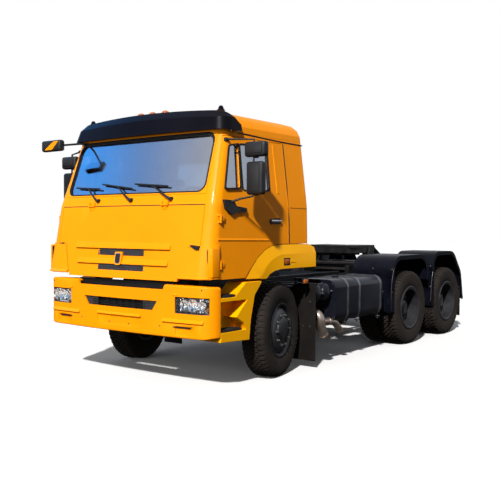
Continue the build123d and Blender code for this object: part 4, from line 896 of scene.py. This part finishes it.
# Lower grille: dark slats in the middle, grey blanks at its ends
grille = {"back": (1262, 1270, -350, 350, 812, 924), "slats": range(834, 903, 17),
          "slat": (1270, 1296, 346, 3), "bars": (300, 100), "bar": (1270, 1290, 3, 816, 920),
          "blank": [(348, 821), (494, 821), (558, 915), (348, 915)], "blankThick": 14,
          "ribs": ((500, 842), (514, 867), (528, 892)), "ribInner": 356, "cuts": (-500, -420, 420, 500),
          "sunk": -34}
x0, x1, half, tall = grille["slat"]
slats = [(x0, x1, -half, half, z - tall, z + tall, 2, 1) for z in grille["slats"]]
x0, x1, half, low, high = grille["bar"]
bars = [(x0, x1, y - half, y + half, low, high, 1, 1) for y in evenly(*grille["bars"])]
boxPiece("grilleSlats", [grille["back"]] + slats + bars, "chassis", plasticBlack)
bm = bmesh.new()
for side, _ in sides:
    addPrism(bm, [(0, side * y, z) for y, z in grille["blank"]], (grille["blankThick"], 0, 0))
    addBoxes(bm, [(10, 20, grille["ribInner"], y, z - 4, z + 4, 2, 1) for y, z in grille["ribs"]], side)
sliceAcross(bm, 1, grille["cuts"])
wrapBumper(bm, grille["sunk"])
finishPiece("grilleBlanks", bm, "chassis", plasticGrey)

# The dark slot over the bumper: a slatted panel behind it, and a black sheet under the cab's nose that is
# painted shade
slot = {"panel": (1240, 1256, -720, 720, 1000, 1104, 4, 2), "slats": range(1046, 1103, 7),
        "slat": (1256, 1266, 700, 1.5), "posts": (-520, -180, 180, 520), "post": (1200, 1241, 20, 1010, 1090),
        "shadeSheet": (1150, 1180, -760, 760, 1112, 1190, 6, 2)}
x0, x1, half, tall = slot["slat"]
slats = [(x0, x1, -half, half, z - tall, z + tall) for z in slot["slats"]]
x0, x1, half, low, high = slot["post"]
posts = [(x0, x1, y - half, y + half, low, high, 4, 1) for y in slot["posts"]]
boxPiece("slotPanel", [slot["panel"]] + slats + posts, "chassis", plasticBlack)
# A black sheet under the nose that stands in for the shade there: painted shade
boxPiece("noseShadeSheet", [slot["shadeSheet"]], "cab", plasticBlack)

# Bumper pressings: fog line, the lamp's upper line and the plate area's edge, as (y from and to, z, rise,
# lift, edge, foot); the fog slots, and the screws as (y, lift, z, radius, height)
pressing = {"sided": ((640, 1150, 722, 34, 21, 3, 8), (772, 832, 992, 14, 9, 3, 6)),
            "middle": (-330, 330, 742, 26, 15, 3, 7), "cuts": (1140, 60), "slot": (775, 1002, 663, 676),
            "slotLift": 2, "slotCuts": range(800, 1000, 40),
            "screws": ((150, -10, 655, 6, 4), (600, 0, 668, 5, 3), (1130, 0, 1052, 5, 3))}
bm = bmesh.new()
y0, y1, z0, z1 = pressing["slot"]
for side, _ in sides:
    addPlate(bm, field(pressing["slotLift"], side * y0, side * y1, z0, z1), 5.0, 4.0, 2)
sliceAcross(bm, 1, [side * y for side, _ in sides for y in pressing["slotCuts"]])
wrapBumper(bm)
finishPiece("fogSlots", bm, "chassis", gasketRubber)
bm = bmesh.new()
for side, _ in sides:
    for y0, y1, *section in pressing["sided"]:
        addLedge(bm, side * y0, side * y1, *section)
addLedge(bm, *pressing["middle"])
sliceAcross(bm, 1, evenly(*pressing["cuts"]))
wrapBumper(bm)
finishPiece("bumperPressings", bm, "chassis", cabYellow)
bm = bmesh.new()
for y, lift, z, radius, height in pressing["screws"]:
    for side, _ in sides:
        addBolt(bm, (bumperX(y) + lift, side * y, z), "X", 1, radius, height)
finishPiece("bumperScrews", bm, "chassis", nutDark)

# Ribbed treads on the steps, as (x from and to, y from and to, z)
stepTread = {"plates": ((773, 1084, 1092, 1240, 972), (742, 1120, 1090, 1240, 626)), "thick": 14, "ribs": 9,
             "endGap": 52, "rib": (6, 18, 12, 13, 22)}
for side, label in sides:
    bm = bmesh.new()
    for x0, x1, y0, y1, z in stepTread["plates"]:
        outline = [(x0, y1 - 34), (x0 + 60, y1), (x1 - 30, y1), (x1, y1 - 30), (x1, y0 + 20), (x1 - 40, y0),
                   (x0 + 50, y0), (x0, y0 + 34)]
        addPrism(bm, [(x, side * y, z) for x, y in outline], (0, 0, stepTread["thick"]))
        half, near, far, low, high = stepTread["rib"]
        for n in range(stepTread["ribs"]):
            x = x0 + stepTread["endGap"] + n * (x1 - x0 - 2 * stepTread["endGap"]) / (stepTread["ribs"] - 1)
            addBoxes(bm, [(x - half, x + half, y0 + near, y1 - far, z + low, z + high, 3, 1)], side)
    finishPiece("stepTreads_" + label, bm, "chassis", plasticBlack)
print("bumper and steps ready")


# Fuel tank: three straps with their screws, a filler cap and end seams
tank = {"front": -1085, "rear": -2310, "y": (640, 1232), "z": (505, 1030), "round": 110, "strapProud": 8,
        "straps": (-1370, -1670, -2240), "strapWide": 34, "seamProud": 3, "seamWide": 9.0,
        "cap": (-1500, 980), "capProfile": [(0, 34), (38, 33), (44, 26), (44, 8), (52, 6), (52, -6), (0, -6)]}
(inner, outer), (low, high) = tank["y"], tank["z"]


# A band round the tank's section, proud of it and sunk into it
def addTankBand(bm, x, proud, sunk, roundSunk, wide):
    outline, hole = (field(x, inner - grow, outer + grow, low - grow, high + grow) for grow in (proud, -sunk))
    made = addRing(bm, outline, hole, tank["round"] + proud, tank["round"] - roundSunk, 9)
    thicken(bm, (1, 0, 0), wide, [face for face in made if face.is_valid])


bm = bmesh.new()
for x in tank["straps"]:
    addTankBand(bm, x, tank["strapProud"], 1, 1, tank["strapWide"])
    screwX, screwY = x - tank["strapWide"] / 2, outer - 40
    addRod(bm, (screwX, screwY, low - 4), (screwX, screwY, low - 50), 10, facets=10)
    addBolt(bm, (screwX, screwY, low - 22), "Z", -1, 13, 12)
    addBox(bm, x - 36, x + 2, outer - 70, outer - 10, low - 24, low - 10, 3, 1)
finishPiece("tankStraps", bm, "chassis", strapSteel)
bm = bmesh.new()
for x in (tank["front"] - 1, tank["rear"] + tank["seamWide"]):
    addTankBand(bm, x, tank["seamProud"], 30, 20, tank["seamWide"])
addTurned(bm, tank["capProfile"], (*tank["cap"], high), "Z", 1, 32)
finishPiece("tankSeams", bm, "chassis", tankBlack)

# Air tanks: end screws and bands
airTank = {"screws": ((-858, 882), (-1066, 897)), "steps": (1130, 1178, 1192, 1204),
           "bands": [(x, y, 897) for x in (-978, -766) for y in (880, 1120)],
           "band": [(100, -16), (106, -16), (106, 16), (100, 16)]}
bm = bmesh.new()
back, face, nut, tip = airTank["steps"]
for x, z in airTank["screws"]:
    addBox(bm, x - 12, x + 12, back, face, z - 20, z + 20, 4, 1)
    addRod(bm, (x, face, z), (x, nut, z), 14, 12)
    addRod(bm, (x, nut, z), (x, tip, z), 8, 7)
finishPiece("airTankScrews", bm, "chassis", boltSteel)
bm = bmesh.new()
for spot in airTank["bands"]:
    addTurned(bm, airTank["band"], spot, closed=True)
finishPiece("airTankBands", bm, "chassis", frameBlack)

# Orange side lamps behind the cab's wings, on their arms
sideLamp = {"lens": [(-520, -440, 1182, 1204, 1026, 1072, 7, 2)],
            "arm": [(-530, -430, 1172, 1186, 1018, 1084, 4, 1), (-560, -520, 1010, 1180, 1060, 1082, 4, 1),
                    (-560, -520, 432, 1030, 990, 1008, 4, 1), (-560, -520, 1010, 1030, 990, 1080, 4, 1)]}
for side, label in sides:
    boxPiece("sideLamp_" + label, sideLamp["lens"], "chassis", orangeLens, side)
    boxPiece("sideLampArm_" + label, sideLamp["arm"], "chassis", frameBlack, side)

# Exhaust: the silencer's outlet bends down and ends in a cut bell, with a thinner pipe beside it
exhaust = {"silencerReach": 1012.0, "soft": 3,
           "exhaustBell": [(-860, 930, 640), (-840, 1090, 650), (-846, 1160, 600), (-862, 1160, 480),
                           (-925, 1160, 372)],
           "exhaustTail": [(-880, 1150, 540), (-960, 1160, 530), (-1110, 1160, 520), (-1230, 1160, 485),
                           (-1318, 1160, 385)],
           "bellLip": [(-915, 1160, 384), (-931, 1160, 364)],
           "tailJoint": [(-1035, 1160, 527), (-1060, 1160, 526)],
           "tailLip": [(-1310, 1160, 396), (-1322, 1160, 380)],
           "radius": {"exhaustBell": 60, "exhaustTail": 43, "bellLip": 65, "tailJoint": 48, "tailLip": 46}}
refine("silencer", exhaustSteel, exhaust["soft"], keep=lambda spot: spot.y < exhaust["silencerReach"])
for name, radius in exhaust["radius"].items():
    route = exhaust[name]
    tube(name, route, radius, "chassis", exhaustSteel, smooth=len(route) > 2, facets=6)

# Deck between the rails: two plates with ribs and edge strips
deck = {"plates": [(-1560, -640, -400, 400, 1016, 1024, 2, 1), (-2540, -1660, -400, 400, 1016, 1024, 2, 1)],
        "ribs": range(-700, -2465, -84), "gap": (-1660, -1560), "rib": (6, 390, 1024, 1034),
        "edge": [(-2540, -640, 396, 430, 1012, 1052, 5, 1)]}
bm = bmesh.new()
addBoxes(bm, deck["plates"])
half, reach, low, high = deck["rib"]
for x in deck["ribs"]:
    if not deck["gap"][0] < x < deck["gap"][1]:
        addBox(bm, x - half, x + half, -reach, reach, low, high, 2, 1)
for side, _ in sides:
    addBoxes(bm, deck["edge"], side)
finishPiece("deckPlates", bm, "chassis", frameBlack)

# Screws on the mudguards' front faces and on the front flaps
screws = {"guard": ((-2597, -3877), ((940, 1099), (1230, 1095), (1090, 783), (1232, 783)), 9, 6),
          "flap": ((-641,), ((1022, 797), (1150, 797), (1053, 500), (1150, 500)), 8, 5)}
for key, (faces, spots, radius, height) in screws.items():
    bm = bmesh.new()
    for x in faces:
        for side, _ in sides:
            for y, z in spots:
                addBolt(bm, (x, side * y, z), "X", 1, radius, height)
    finishPiece(key + "Screws", bm, "chassis", boltSteel)
print("chassis details ready")

# Arch edges and a ribbed foot on the mudguards
guardTrim = {"edges": ([(-2640, 1105), (-2612, 1050), (-2578, 930), (-2562, 817), (-2562, 520)],
                       [(-3948, 1010), (-3922, 940), (-3900, 830), (-3888, 720), (-3872, 560)]),
             "y": 1244.0, "radius": 6.0, "ribs": range(-2590, -2430, 32), "rib": (12, 1236, 1250, 500, 700)}
bm = bmesh.new()
for side, _ in sides:
    y = side * guardTrim["y"]
    for edge in guardTrim["edges"]:
        for (x0, z0), (x1, z1) in zip(edge, edge[1:]):
            addRod(bm, (x0, y, z0), (x1, y, z1), guardTrim["radius"], facets=10)
finishPiece("guardEdges", bm, "chassis", rimGrey)
wide, *rest = guardTrim["rib"]
boxPiece("guardRibs", [(x, x + wide, *rest, 4.0, 2) for x in guardTrim["ribs"]], "chassis", guardNavy, 1, -1)


# Moves the points of a refined shell, after cutting it where it needs more of them
def shape(piece, cuts, move):
    bm = bmesh.new()
    bm.from_mesh(piece.data)
    bm.transform(fromFrame)
    for axis, spots in cuts:
        sliceAcross(bm, axis, spots)
    for vert in bm.verts:
        vert.co = Vector(move(*vert.co))
    bm.transform(toFrame)
    bm.to_mesh(piece.data)
    bm.free()
    piece.data.update()


# The sun visor rises to its middle, and the bumper's ends rise at the bottom and drop at the top
crown = {"rise": 34.0, "half": 985.0, "from": 2700.0, "over": 120.0, "cutsY": (960, 80),
         "cutsZ": (2700, 2760, 2820)}
bumperEnds = {"from": 1100.0, "reach": 145.0, "bottom": 600.0, "rise": 42.0, "over": 90.0, "top": 1050.0,
              "drop": 16.0}


def crownVisor(x, y, z):
    if z > crown["from"] and abs(y) < crown["half"]:
        share = min((z - crown["from"]) / crown["over"], 1.0)
        z += crown["rise"] * share * (1 - (y / crown["half"]) ** 2)
    return x, y, z


def turnBumper(x, y, z):
    if abs(y) > bumperEnds["from"]:
        reach = (abs(y) - bumperEnds["from"]) / bumperEnds["reach"]
        if z < bumperEnds["bottom"]:
            z += bumperEnds["rise"] * reach ** 2 * (bumperEnds["bottom"] - z) / bumperEnds["over"]
        elif z > bumperEnds["top"]:
            z -= bumperEnds["drop"] * reach ** 2
    return x, y, z


shape(shells["sun_visor"], [(1, evenly(*crown["cutsY"])), (2, crown["cutsZ"])], crownVisor)
shape(shells["bumper"], [(2, (bumperEnds["bottom"],))], turnBumper)

# Air deflectors on the cab's front corners: plate with a lip, slot, gap to the door, and an outer fin with a
# dark inside
deflector = {"plate": [(940, 1472), (1190, 1462), (1214, 1166), (846, 1166)],
             "lip": (846, 1214, 1168, 38, 36, 5, 16),
             "slot": [(972, 1496), (1088, 1486), (1100, 1448), (1062, 1449), (1002, 1476)],
             "plateCuts": range(880, 1215, 25), "slotCuts": range(980, 1100, 20),
             "gap": ((1136, -4), (1137, 4), (1149, 4), (1150, -4)), "gapZ": (1168, 1480),
             "fin": ((1150, 1204), (1262, 1188), (1277, 1202), (1250, 1240), (1150, 1249)),
             "finZ": (1180, 1466), "inside": [(1180, 1268, 1180, 1192, 1196, 1450, 2.0, 1)]}
for side, label in sides:
    bm = bmesh.new()
    addPlate(bm, [(0, side * y, z) for y, z in deflector["plate"]], 24.0, 14.0, 3)
    y0, y1, *section = deflector["lip"]
    addLedge(bm, side * y0, side * y1, *section)
    layOnFront("deflector_" + label, bm, "cab", cabYellow, [side * y for y in deflector["plateCuts"]])
    bm = bmesh.new()
    addPlate(bm, [(0, side * y, z) for y, z in deflector["slot"]], 40.0, 6.0, 2)
    layOnFront("deflectorSlot_" + label, bm, "cab", gasketRubber, [side * y for y in deflector["slotCuts"]])
    bm = bmesh.new()
    low, high = deflector["gapZ"]
    addPrism(bm, [(x, lift, low) for x, lift in deflector["gap"]], (0, 0, high - low))
    layOnSide("deflectorGap_" + label, bm, side, "cab", gasketRubber)
    bm = bmesh.new()
    low, high = deflector["finZ"]
    addPrism(bm, [(x, side * y, low) for x, y in deflector["fin"]], (0, 0, high - low))
    bmesh.ops.bevel(bm, geom=bm.edges[:], offset=5.0, segments=2, profile=0.5, affect="EDGES",
                    clamp_overlap=True, material=-1)
    finishPiece("deflectorFin_" + label, bm, "cab", cabYellow)
    boxPiece("deflectorInside_" + label, deflector["inside"], "cab", gasketRubber, side)

# The dark joint over the front lid
lidJoint = {"half": 1080, "z": (1895, 1904), "cuts": (1040, 60)}
bm = bmesh.new()
addPlate(bm, field(1, -lidJoint["half"], lidJoint["half"], *lidJoint["z"]), 4.0, 2.0, 1)
layOnFront("lidJoint", bm, "cab", gasketRubber, evenly(*lidJoint["cuts"]))

# Wipers: three arms and blades, as (y, z) of the pivot and of the blade's ends
wiper = {"pivots": ((-464, 1960), (62, 1959), (634, 1962)),
         "blades": (((-907, 2119), (-480, 2095)), ((-446, 2145), (47, 2086)), ((78, 2133), (563, 2097))),
         "grip": 0.55, "bend": 0.2, "bendLift": 10, "boss": (-24, 8), "pivotLift": 20, "armLift": 32,
         "bladeLift": 17, "bladeSteps": 12, "claws": (0.25, 0.75), "clawLift": 26}


def between(start, end, share):
    return tuple(a + (b - a) * share for a, b in zip(start, end))


# A spot at (y, z), lifted off the windscreen
def onScreen(spot, lift):
    return Vector((frontX(*spot) + lift, *spot))


bm = bmesh.new()
for pivot, (start, end) in zip(wiper["pivots"], wiper["blades"]):
    grip = between(start, end, wiper["grip"])
    foot, middle = onScreen(pivot, wiper["pivotLift"]), onScreen(grip, wiper["armLift"])
    bend = (foot.x + wiper["bendLift"], *between(pivot, grip, wiper["bend"]))
    addRod(bm, *((foot.x + reach, *pivot) for reach in wiper["boss"]), 24, 20, facets=20)
    addRod(bm, foot, bend, 15, 12, facets=10)
    addRod(bm, bend, middle, 11, 7, facets=10)
    steps = wiper["bladeSteps"]
    for step in range(steps):
        near, far = (onScreen(between(start, end, n / steps), wiper["bladeLift"]) for n in (step, step + 1))
        addRod(bm, near, far, 9, facets=8)
    tips = [onScreen(spot, wiper["clawLift"]) for spot in (start, end)]
    near, far = (between(*tips, share) for share in wiper["claws"])
    addRod(bm, near, middle, 6, facets=8)
    addRod(bm, middle, far, 6, facets=8)
piece = finishPiece("wiperSet", bm, "cab", plasticBlack)
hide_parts("wipers")

# Front mirror: housing on its arm, a yellow field that stands for the cab's reflection, and its glass
frontMirror = {"boxes": [(1238, 1316, -1328, -992, 2542, 2670, 24.0, 3),
                         (925, 955, -990, -930, 2622, 2660, 6.0, 2)],
               "arm": ((1270, -1010, 2606), (1040, -960, 2640), (925, -960, 2641)), "armRadius": 12,
               "field": [(1319, -1262, 2558), (1319, -1128, 2558), (1319, -1012, 2654), (1319, -1098, 2654)],
               "glass": [(1234, 1242, -1314, -1006, 2556, 2656, 3.0, 1)]}
bm = bmesh.new()
addBoxes(bm, frontMirror["boxes"])
for start, end in zip(frontMirror["arm"], frontMirror["arm"][1:]):
    addRod(bm, start, end, frontMirror["armRadius"])
piece = finishPiece("frontMirrorHousing", bm, "cab", plasticBlack)
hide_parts("front_mirror")
# A yellow plate on the housing's face: a painted reflection of the cab
bm = bmesh.new()
addPlate(bm, frontMirror["field"], 6.0, 10.0, 3)
finishPiece("frontMirrorPaintedReflection", bm, "cab", cabYellow)
boxPiece("frontMirrorGlass", frontMirror["glass"], "cab", mirrorSilver)
print("front details ready")

# Fifth wheel: a rim and ribs under the plate, grease channels and the base casting. Places are taken from the
# plate's or the base's middle, at the plate's top or on the frame's top.
coupling = {"x": -3390.0, "top": 1410.0, "rail": 1010.0, "rimZ": (-118, -30), "rimThick": 12,
            "outline": [(-165, -446), (250, -446), (396, -300), (396, 300), (250, 446), (-165, 446)],
            "ribs": (190, 320), "ribThick": 14, "rib": ((-160, -34), (370, -34), (300, -96), (-100, -96)),
            "blocks": [(-155, 330, 48, 205, -158, -92, 10.0, 2)], "pins": (60, 205, 300, -128, 22),
            "grease": (-130, -20, 120, 250), "greaseLine": (5, 180, 420, -0.5, 1.5, 0.8, 1),
            "base": [(-300, 300, -355, 355, 126, 150, 8.0, 2), (-266, -214, -360, 360, 20, 118, 8.0, 2),
                     (214, 266, -360, 360, 20, 118, 8.0, 2)],
            "bolts": (-280, -190, 190, 280), "bolt": (400, 126, 14, 10)}


def finishCoupling(name, bm, z, body, material):
    bmesh.ops.translate(bm, vec=(coupling["x"], 0, z), verts=bm.verts)
    finishPiece(name, bm, body, material)


bm = bmesh.new()
low, high = coupling["rimZ"]
for (x0, y0), (x1, y1) in zip(coupling["outline"], coupling["outline"][1:]):
    inward = Vector((y0 - y1, x1 - x0, 0)).normalized() * coupling["rimThick"]
    addPrism(bm, [(x0, y0, high), (x1, y1, high), (x1, y1, low), (x0, y0, low)], inward)
x, start, end, z, radius = coupling["pins"]
for side, _ in sides:
    for y in coupling["ribs"]:
        addPrism(bm, [(along, side * y, down) for along, down in coupling["rib"]],
                 (0, side * coupling["ribThick"], 0))
    addBoxes(bm, coupling["blocks"], side)
    addRod(bm, (x, side * start, z), (x, side * end, z), radius)
finishCoupling("plateRim", bm, coupling["top"], "fifth_wheel", greasySteel)
bm = bmesh.new()
half, *line = coupling["greaseLine"]
for side, _ in sides:
    addBoxes(bm, [(x - half, x + half, *line) for x in coupling["grease"]], side)
finishCoupling("greaseLines", bm, coupling["top"], "fifth_wheel", castIron)
bm = bmesh.new()
addBoxes(bm, coupling["base"])
y, z, radius, height = coupling["bolt"]
for side, _ in sides:
    for x in coupling["bolts"]:
        addBolt(bm, (x, side * y, z), "Z", 1, radius, height)
finishCoupling("couplingBase", bm, coupling["rail"], "chassis", castIron)

# Boxes and pipes on the deck behind the cab
equipment = {"boxes": [(-1180, -760, -360, 60, 1034, 1150, 14.0, 3),
                       (-1140, -800, 120, 360, 1034, 1120, 12.0, 3)], "hoses": range(-1500, -740, 120),
             "hose": ((0, -250, 1036), (100, -210, 1046)), "hoseShift": 20, "hoseRadius": 16,
             "pipes": (-300, -180, -60), "pipe": ((-1150, 1150), (-790, 1162)), "pipeRadius": 17}
bm = bmesh.new()
for n, x in enumerate(equipment["hoses"]):
    start, end = ((x + along, y + equipment["hoseShift"] * (n % 3), z) for along, y, z in equipment["hose"])
    addRod(bm, start, end, equipment["hoseRadius"], facets=12)
addBoxes(bm, equipment["boxes"])
for y in equipment["pipes"]:
    start, end = ((x, y, z) for x, z in equipment["pipe"])
    addRod(bm, start, end, equipment["pipeRadius"], facets=12)
finishPiece("rearEquipment", bm, "chassis", frameBlack)
print("coupling ready")


# Seats: pads blown up by a short cloth simulation, on their frames. A pad is x, y and z from and to, its
# lean, its seams and its rounding. Voxel and cap are in metres.
seat = {"y": 620.0, "floor": 1514.0, "leanFrom": 1714.0, "seamDeep": 9.0, "seamWide": 9.0, "voxel": 0.008,
        "cap": 0.024, "pressure": 4.0, "steps": 20}
pads = {"seatCushion": ((-128, 306), (-222, 222), (168, 236), 0.0, (-90, 90), 30.0),
        "seatBack": ((-196, -112), (-208, 208), (262, 634), -0.12, (-80, 80), 26.0),
        "seatHeadrest": ((-206, -140), (-140, 140), (672, 756), -0.12, (), 24.0)}
seatFrame = {"boxes": [(-100, 250, -185, 185, 0, 118, 14, 3), (-140, 312, -222, 222, 118, 166, 16, 3),
                       (-216, -176, -196, 196, 170, 300, 14, 3), (-140, 60, -243, -224, 130, 210, 9, 2),
                       (-140, 60, 224, 243, 130, 210, 9, 2)],
             "posts": (-60, 60), "post": ((-208, 600), (-226, 700)), "postRadius": 7}


# The mesh that a piece's modifiers make, with the modifiers taken off
def settledMesh(piece):
    mesh = bpy.data.meshes.new_from_object(piece.evaluated_get(bpy.context.evaluated_depsgraph_get()))
    piece.modifiers.clear()
    return mesh


# Swells a closed pad like stuffed cloth, then keeps every point within the cap
def puff(piece):
    grid = piece.modifiers.new("even", "REMESH")
    grid.mode = "VOXEL"
    grid.voxel_size = seat["voxel"]
    piece.data = settledMesh(piece)
    before = [vert.co.copy() for vert in piece.data.vertices]
    cloth = piece.modifiers.new("stuffing", "CLOTH")
    cloth.settings.use_pressure = True
    cloth.settings.uniform_pressure_force = seat["pressure"]
    cloth.settings.effector_weights.gravity = 0.0
    cloth.settings.quality = 4
    cloth.point_cache.frame_end = seat["steps"]
    for frameNumber in range(1, seat["steps"] + 1):
        scene.frame_set(frameNumber)
    piece.data = settledMesh(piece)
    scene.frame_set(1)
    for vert, start in zip(piece.data.vertices, before):
        step = vert.co - start
        if step.length > seat["cap"]:
            vert.co = start + step * (seat["cap"] / step.length)
    mesh = piece.data
    mesh.materials.clear()
    mesh.materials.append(seatCloth)
    mesh.shade_smooth()


# Sewn channels along x, pressed into the pad's top or front
def sew(piece, lines):
    for vert in piece.data.vertices:
        x, y, z = fromFrame @ vert.co
        dip = seat["seamDeep"] * sum(math.exp(-((y - line) / seat["seamWide"]) ** 2) for line in lines)
        if vert.normal.z > 0.3:
            z -= dip
        elif vert.normal.x > 0.3:
            x -= dip
        vert.co = toFrame @ Vector((x, y, z))


for name, ((x0, x1), (y0, y1), (z0, z1), lean, seams, rounding) in pads.items():
    bm = bmesh.new()
    addBox(bm, x0, x1, y0 + seat["y"], y1 + seat["y"], z0 + seat["floor"], z1 + seat["floor"], rounding, 5)
    for vert in bm.verts:
        vert.co.x += (vert.co.z - seat["leanFrom"]) * lean
    pad = finishPiece(name + "_left", bm, "cab", seatCloth)
    puff(pad)
    if seams:
        sew(pad, [seat["y"] + line for line in seams])
    twinMesh = pad.data.copy()
    twinMesh.transform(Matrix.Translation((0, -2 * seat["y"] / 1000, 0)))
    twin = bpy.data.objects.new(name + "_right", twinMesh)
    scene.collection.objects.link(twin)
    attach(twin, "cab")
    for piece in (pad, twin):
        smooth = piece.modifiers.new("finer", "SUBSURF")
        smooth.levels = 1
        smooth.render_levels = 1
bm = bmesh.new()
for side, _ in sides:
    y, z = side * seat["y"], seat["floor"]
    addBoxes(bm, [(x0, x1, y + y0, y + y1, z + z0, z + z1, *edge)
                  for x0, x1, y0, y1, z0, z1, *edge in seatFrame["boxes"]])
    for post in seatFrame["posts"]:
        start, end = ((x, y + post, z + up) for x, up in seatFrame["post"])
        addRod(bm, start, end, seatFrame["postRadius"], facets=12)
piece = finishPiece("seatFrames", bm, "cab", dashPlastic)
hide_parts("seats")

# Dashboard: instrument hood, air vents, and a centre console with switches
dash = {"boxes": [(760, 900, 440, 800, 1925, 1985, 22, 3), (770, 800, -160, 160, 1760, 1900, 12, 2)],
        "vents": (-820, -420, 200, 940), "vent": (782, 800, 62, 1838, 1890), "dials": (520, 620, 720),
        "dial": [(0, -4), (46, -4), (46, 3), (42, 3), (40, -1), (0, -1)], "dialX": 758, "dialZ": 1955,
        "switches": range(-140, 111, 50), "switch": (764, 771, 28, 1800, 1830)}
x0, x1, half, low, high = dash["vent"]
vents = [(x0, x1, y - half, y + half, low, high, 8, 2) for y in dash["vents"]]
boxPiece("dashDetails", dash["boxes"] + vents, "cab", plasticBlack)
bm = bmesh.new()
for y in dash["dials"]:
    addTurned(bm, dash["dial"], (dash["dialX"], y, dash["dialZ"]), "X", -1, 32)
x0, x1, wide, low, high = dash["switch"]
addBoxes(bm, [(x0, x1, y, y + wide, low, high, 3, 1) for y in dash["switches"]])
finishPiece("dashDials", bm, "cab", badgeSilver)
print("cabin ready")


# Floor, lights and camera
studioLight = {"floor": (0.95, 0.95, 0.95, 1.0), "sun": 4.8, "sunTone": (1.0, 0.985, 0.96),
               "sunWay": (-0.726, -0.316, -0.61), "sunSoftness": 2.5, "panel": 290.0, "panelSize": (6.0, 3.0),
               "panelSpot": (12.5, -0.6, 3.2), "panelAim": (3.0, -0.2, 1.6)}
bpy.ops.mesh.primitive_plane_add(size=160.0, location=(0.0, 0.0, 0.0))
floor = bpy.context.object
floor.name = "floor"
floorPaint = bpy.data.materials.new("floorPaint")
floorPaint.use_nodes = True
setSockets(floorPaint.node_tree.nodes["Principled BSDF"],
           {"Base Color": studioLight["floor"], "Roughness": 0.8, "Specular IOR Level": 0.1})
floor.data.materials.append(floorPaint)
floor.visible_diffuse = False
floor.visible_glossy = False


# Hangs a lamp in the scene, facing along a line
def hang(name, data, spot, way):
    holder = bpy.data.objects.new(name, data)
    holder.location = spot
    holder.rotation_euler = way.to_track_quat("-Z", "Y").to_euler()
    scene.collection.objects.link(holder)


sun = bpy.data.lights.new("keySun", "SUN")
sun.energy = studioLight["sun"]
sun.color = studioLight["sunTone"]
sun.angle = math.radians(studioLight["sunSoftness"])
hang("keySun", sun, (0.0, 0.0, 0.0), Vector(studioLight["sunWay"]))
panel = bpy.data.lights.new("frontPanel", "AREA")
panel.shape = "RECTANGLE"
panel.size, panel.size_y = studioLight["panelSize"]
panel.energy = studioLight["panel"]
hang("frontPanel", panel, studioLight["panelSpot"],
     Vector(studioLight["panelAim"]) - Vector(studioLight["panelSpot"]))

# The world: one even tone for soft light, a white backdrop, a blue that only shows through glass, and a sky
# that only reflections see, with tones across it from the truck's right to its left
worldLight = {"ambient": (0.21, 0.215, 0.225), "ground": (0.05, 0.045, 0.04), "horizon": (-0.02, 0.06),
              "backdrop": (1.0, 1.0, 1.0), "through": (0.34, 0.60, 0.95), "skyBase": (0.05, 0.045, 0.045),
              "skyGrey": (0.60, 0.63, 0.68), "greyBelow": (0.32, 0.43),
              "skyAcross": ((0.08, (0.06, 0.80, 2.30)), (0.15, (0.34, 0.62, 1.20)),
                            (0.235, (1.0, 0.97, 0.93)), (0.55, (0.62, 0.68, 0.76)))}
world = bpy.data.worlds.new("studio")
scene.world = world
world.use_nodes = True
sky = world.node_tree
link = sky.links.new
parts = addNode(sky, "SeparateXYZ")
link(addNode(sky, "TexCoord").outputs["Generated"], parts.inputs["Vector"])
height, lift = (addNode(sky, "MapRange", dict(zip(("From Min", "From Max"), worldLight[key])))
                for key in ("horizon", "greyBelow"))
for level in (height, lift):
    link(parts.outputs["Z"], level.inputs["Value"])
shift = addNode(sky, "Math", {1: 0.5, 2: 0.5}, "MULTIPLY_ADD")
across = addNode(sky, "ValToRGB")
stops = across.color_ramp.elements
stops.remove(stops[1])
for n, (place, tone) in enumerate(worldLight["skyAcross"]):
    stop = stops.new(place) if n else stops[0]
    stop.position = place
    stop.color = (*tone, 1.0)
link(parts.outputs["Y"], shift.inputs[0])
link(shift.outputs["Value"], across.inputs["Fac"])
even = mixColours(sky, height.outputs["Result"], worldLight["ground"], worldLight["ambient"])
tint = mixColours(sky, lift.outputs["Result"], worldLight["skyGrey"], across.outputs["Color"])
reflection = mixColours(sky, height.outputs["Result"], worldLight["skyBase"], tint)
soft = sky.nodes["Background"]
link(even, soft.inputs["Color"])
reflected = addNode(sky, "Background")
link(reflection, reflected.inputs["Color"])
beyond = addNode(sky, "Background", {"Color": (*worldLight["through"], 1.0)})
white = addNode(sky, "Background", {"Color": (*worldLight["backdrop"], 1.0)})
path = addNode(sky, "LightPath")
seen = soft.outputs["Background"]
for ray, view in (("Is Glossy Ray", reflected), ("Is Transmission Ray", beyond), ("Is Camera Ray", white)):
    chooser = addNode(sky, "MixShader")
    link(path.outputs[ray], chooser.inputs["Fac"])
    link(seen, chooser.inputs[1])
    link(view.outputs["Background"], chooser.inputs[2])
    seen = chooser.outputs["Shader"]
link(seen, sky.nodes["World Output"].inputs["Surface"])
scene.view_settings.view_transform = "Standard"

cameraSetup = {"spot": (8.73009, 5.93967, 1.67050), "ahead": (-0.7949185, -0.60597827, -0.02991493),
               "roll": 0.003707, "lens": 53.91, "sensor": 36.0, "reach": 300.0}
lens = bpy.data.cameras.new("view")
lens.lens = cameraSetup["lens"]
lens.sensor_width = cameraSetup["sensor"]
lens.sensor_fit = "HORIZONTAL"
lens.clip_end = cameraSetup["reach"]
camera = bpy.data.objects.new("view", lens)
ahead = Vector(cameraSetup["ahead"]).normalized()
right = ahead.cross(Vector((0, 0, 1))).normalized()
above = right.cross(ahead)
right = right * math.cos(cameraSetup["roll"]) + above * math.sin(cameraSetup["roll"])
above = right.cross(ahead)
turn = Matrix((right, above, -ahead)).transposed()
camera.matrix_world = Matrix.Translation(cameraSetup["spot"]) @ turn.to_4x4()
scene.collection.objects.link(camera)
scene.camera = camera
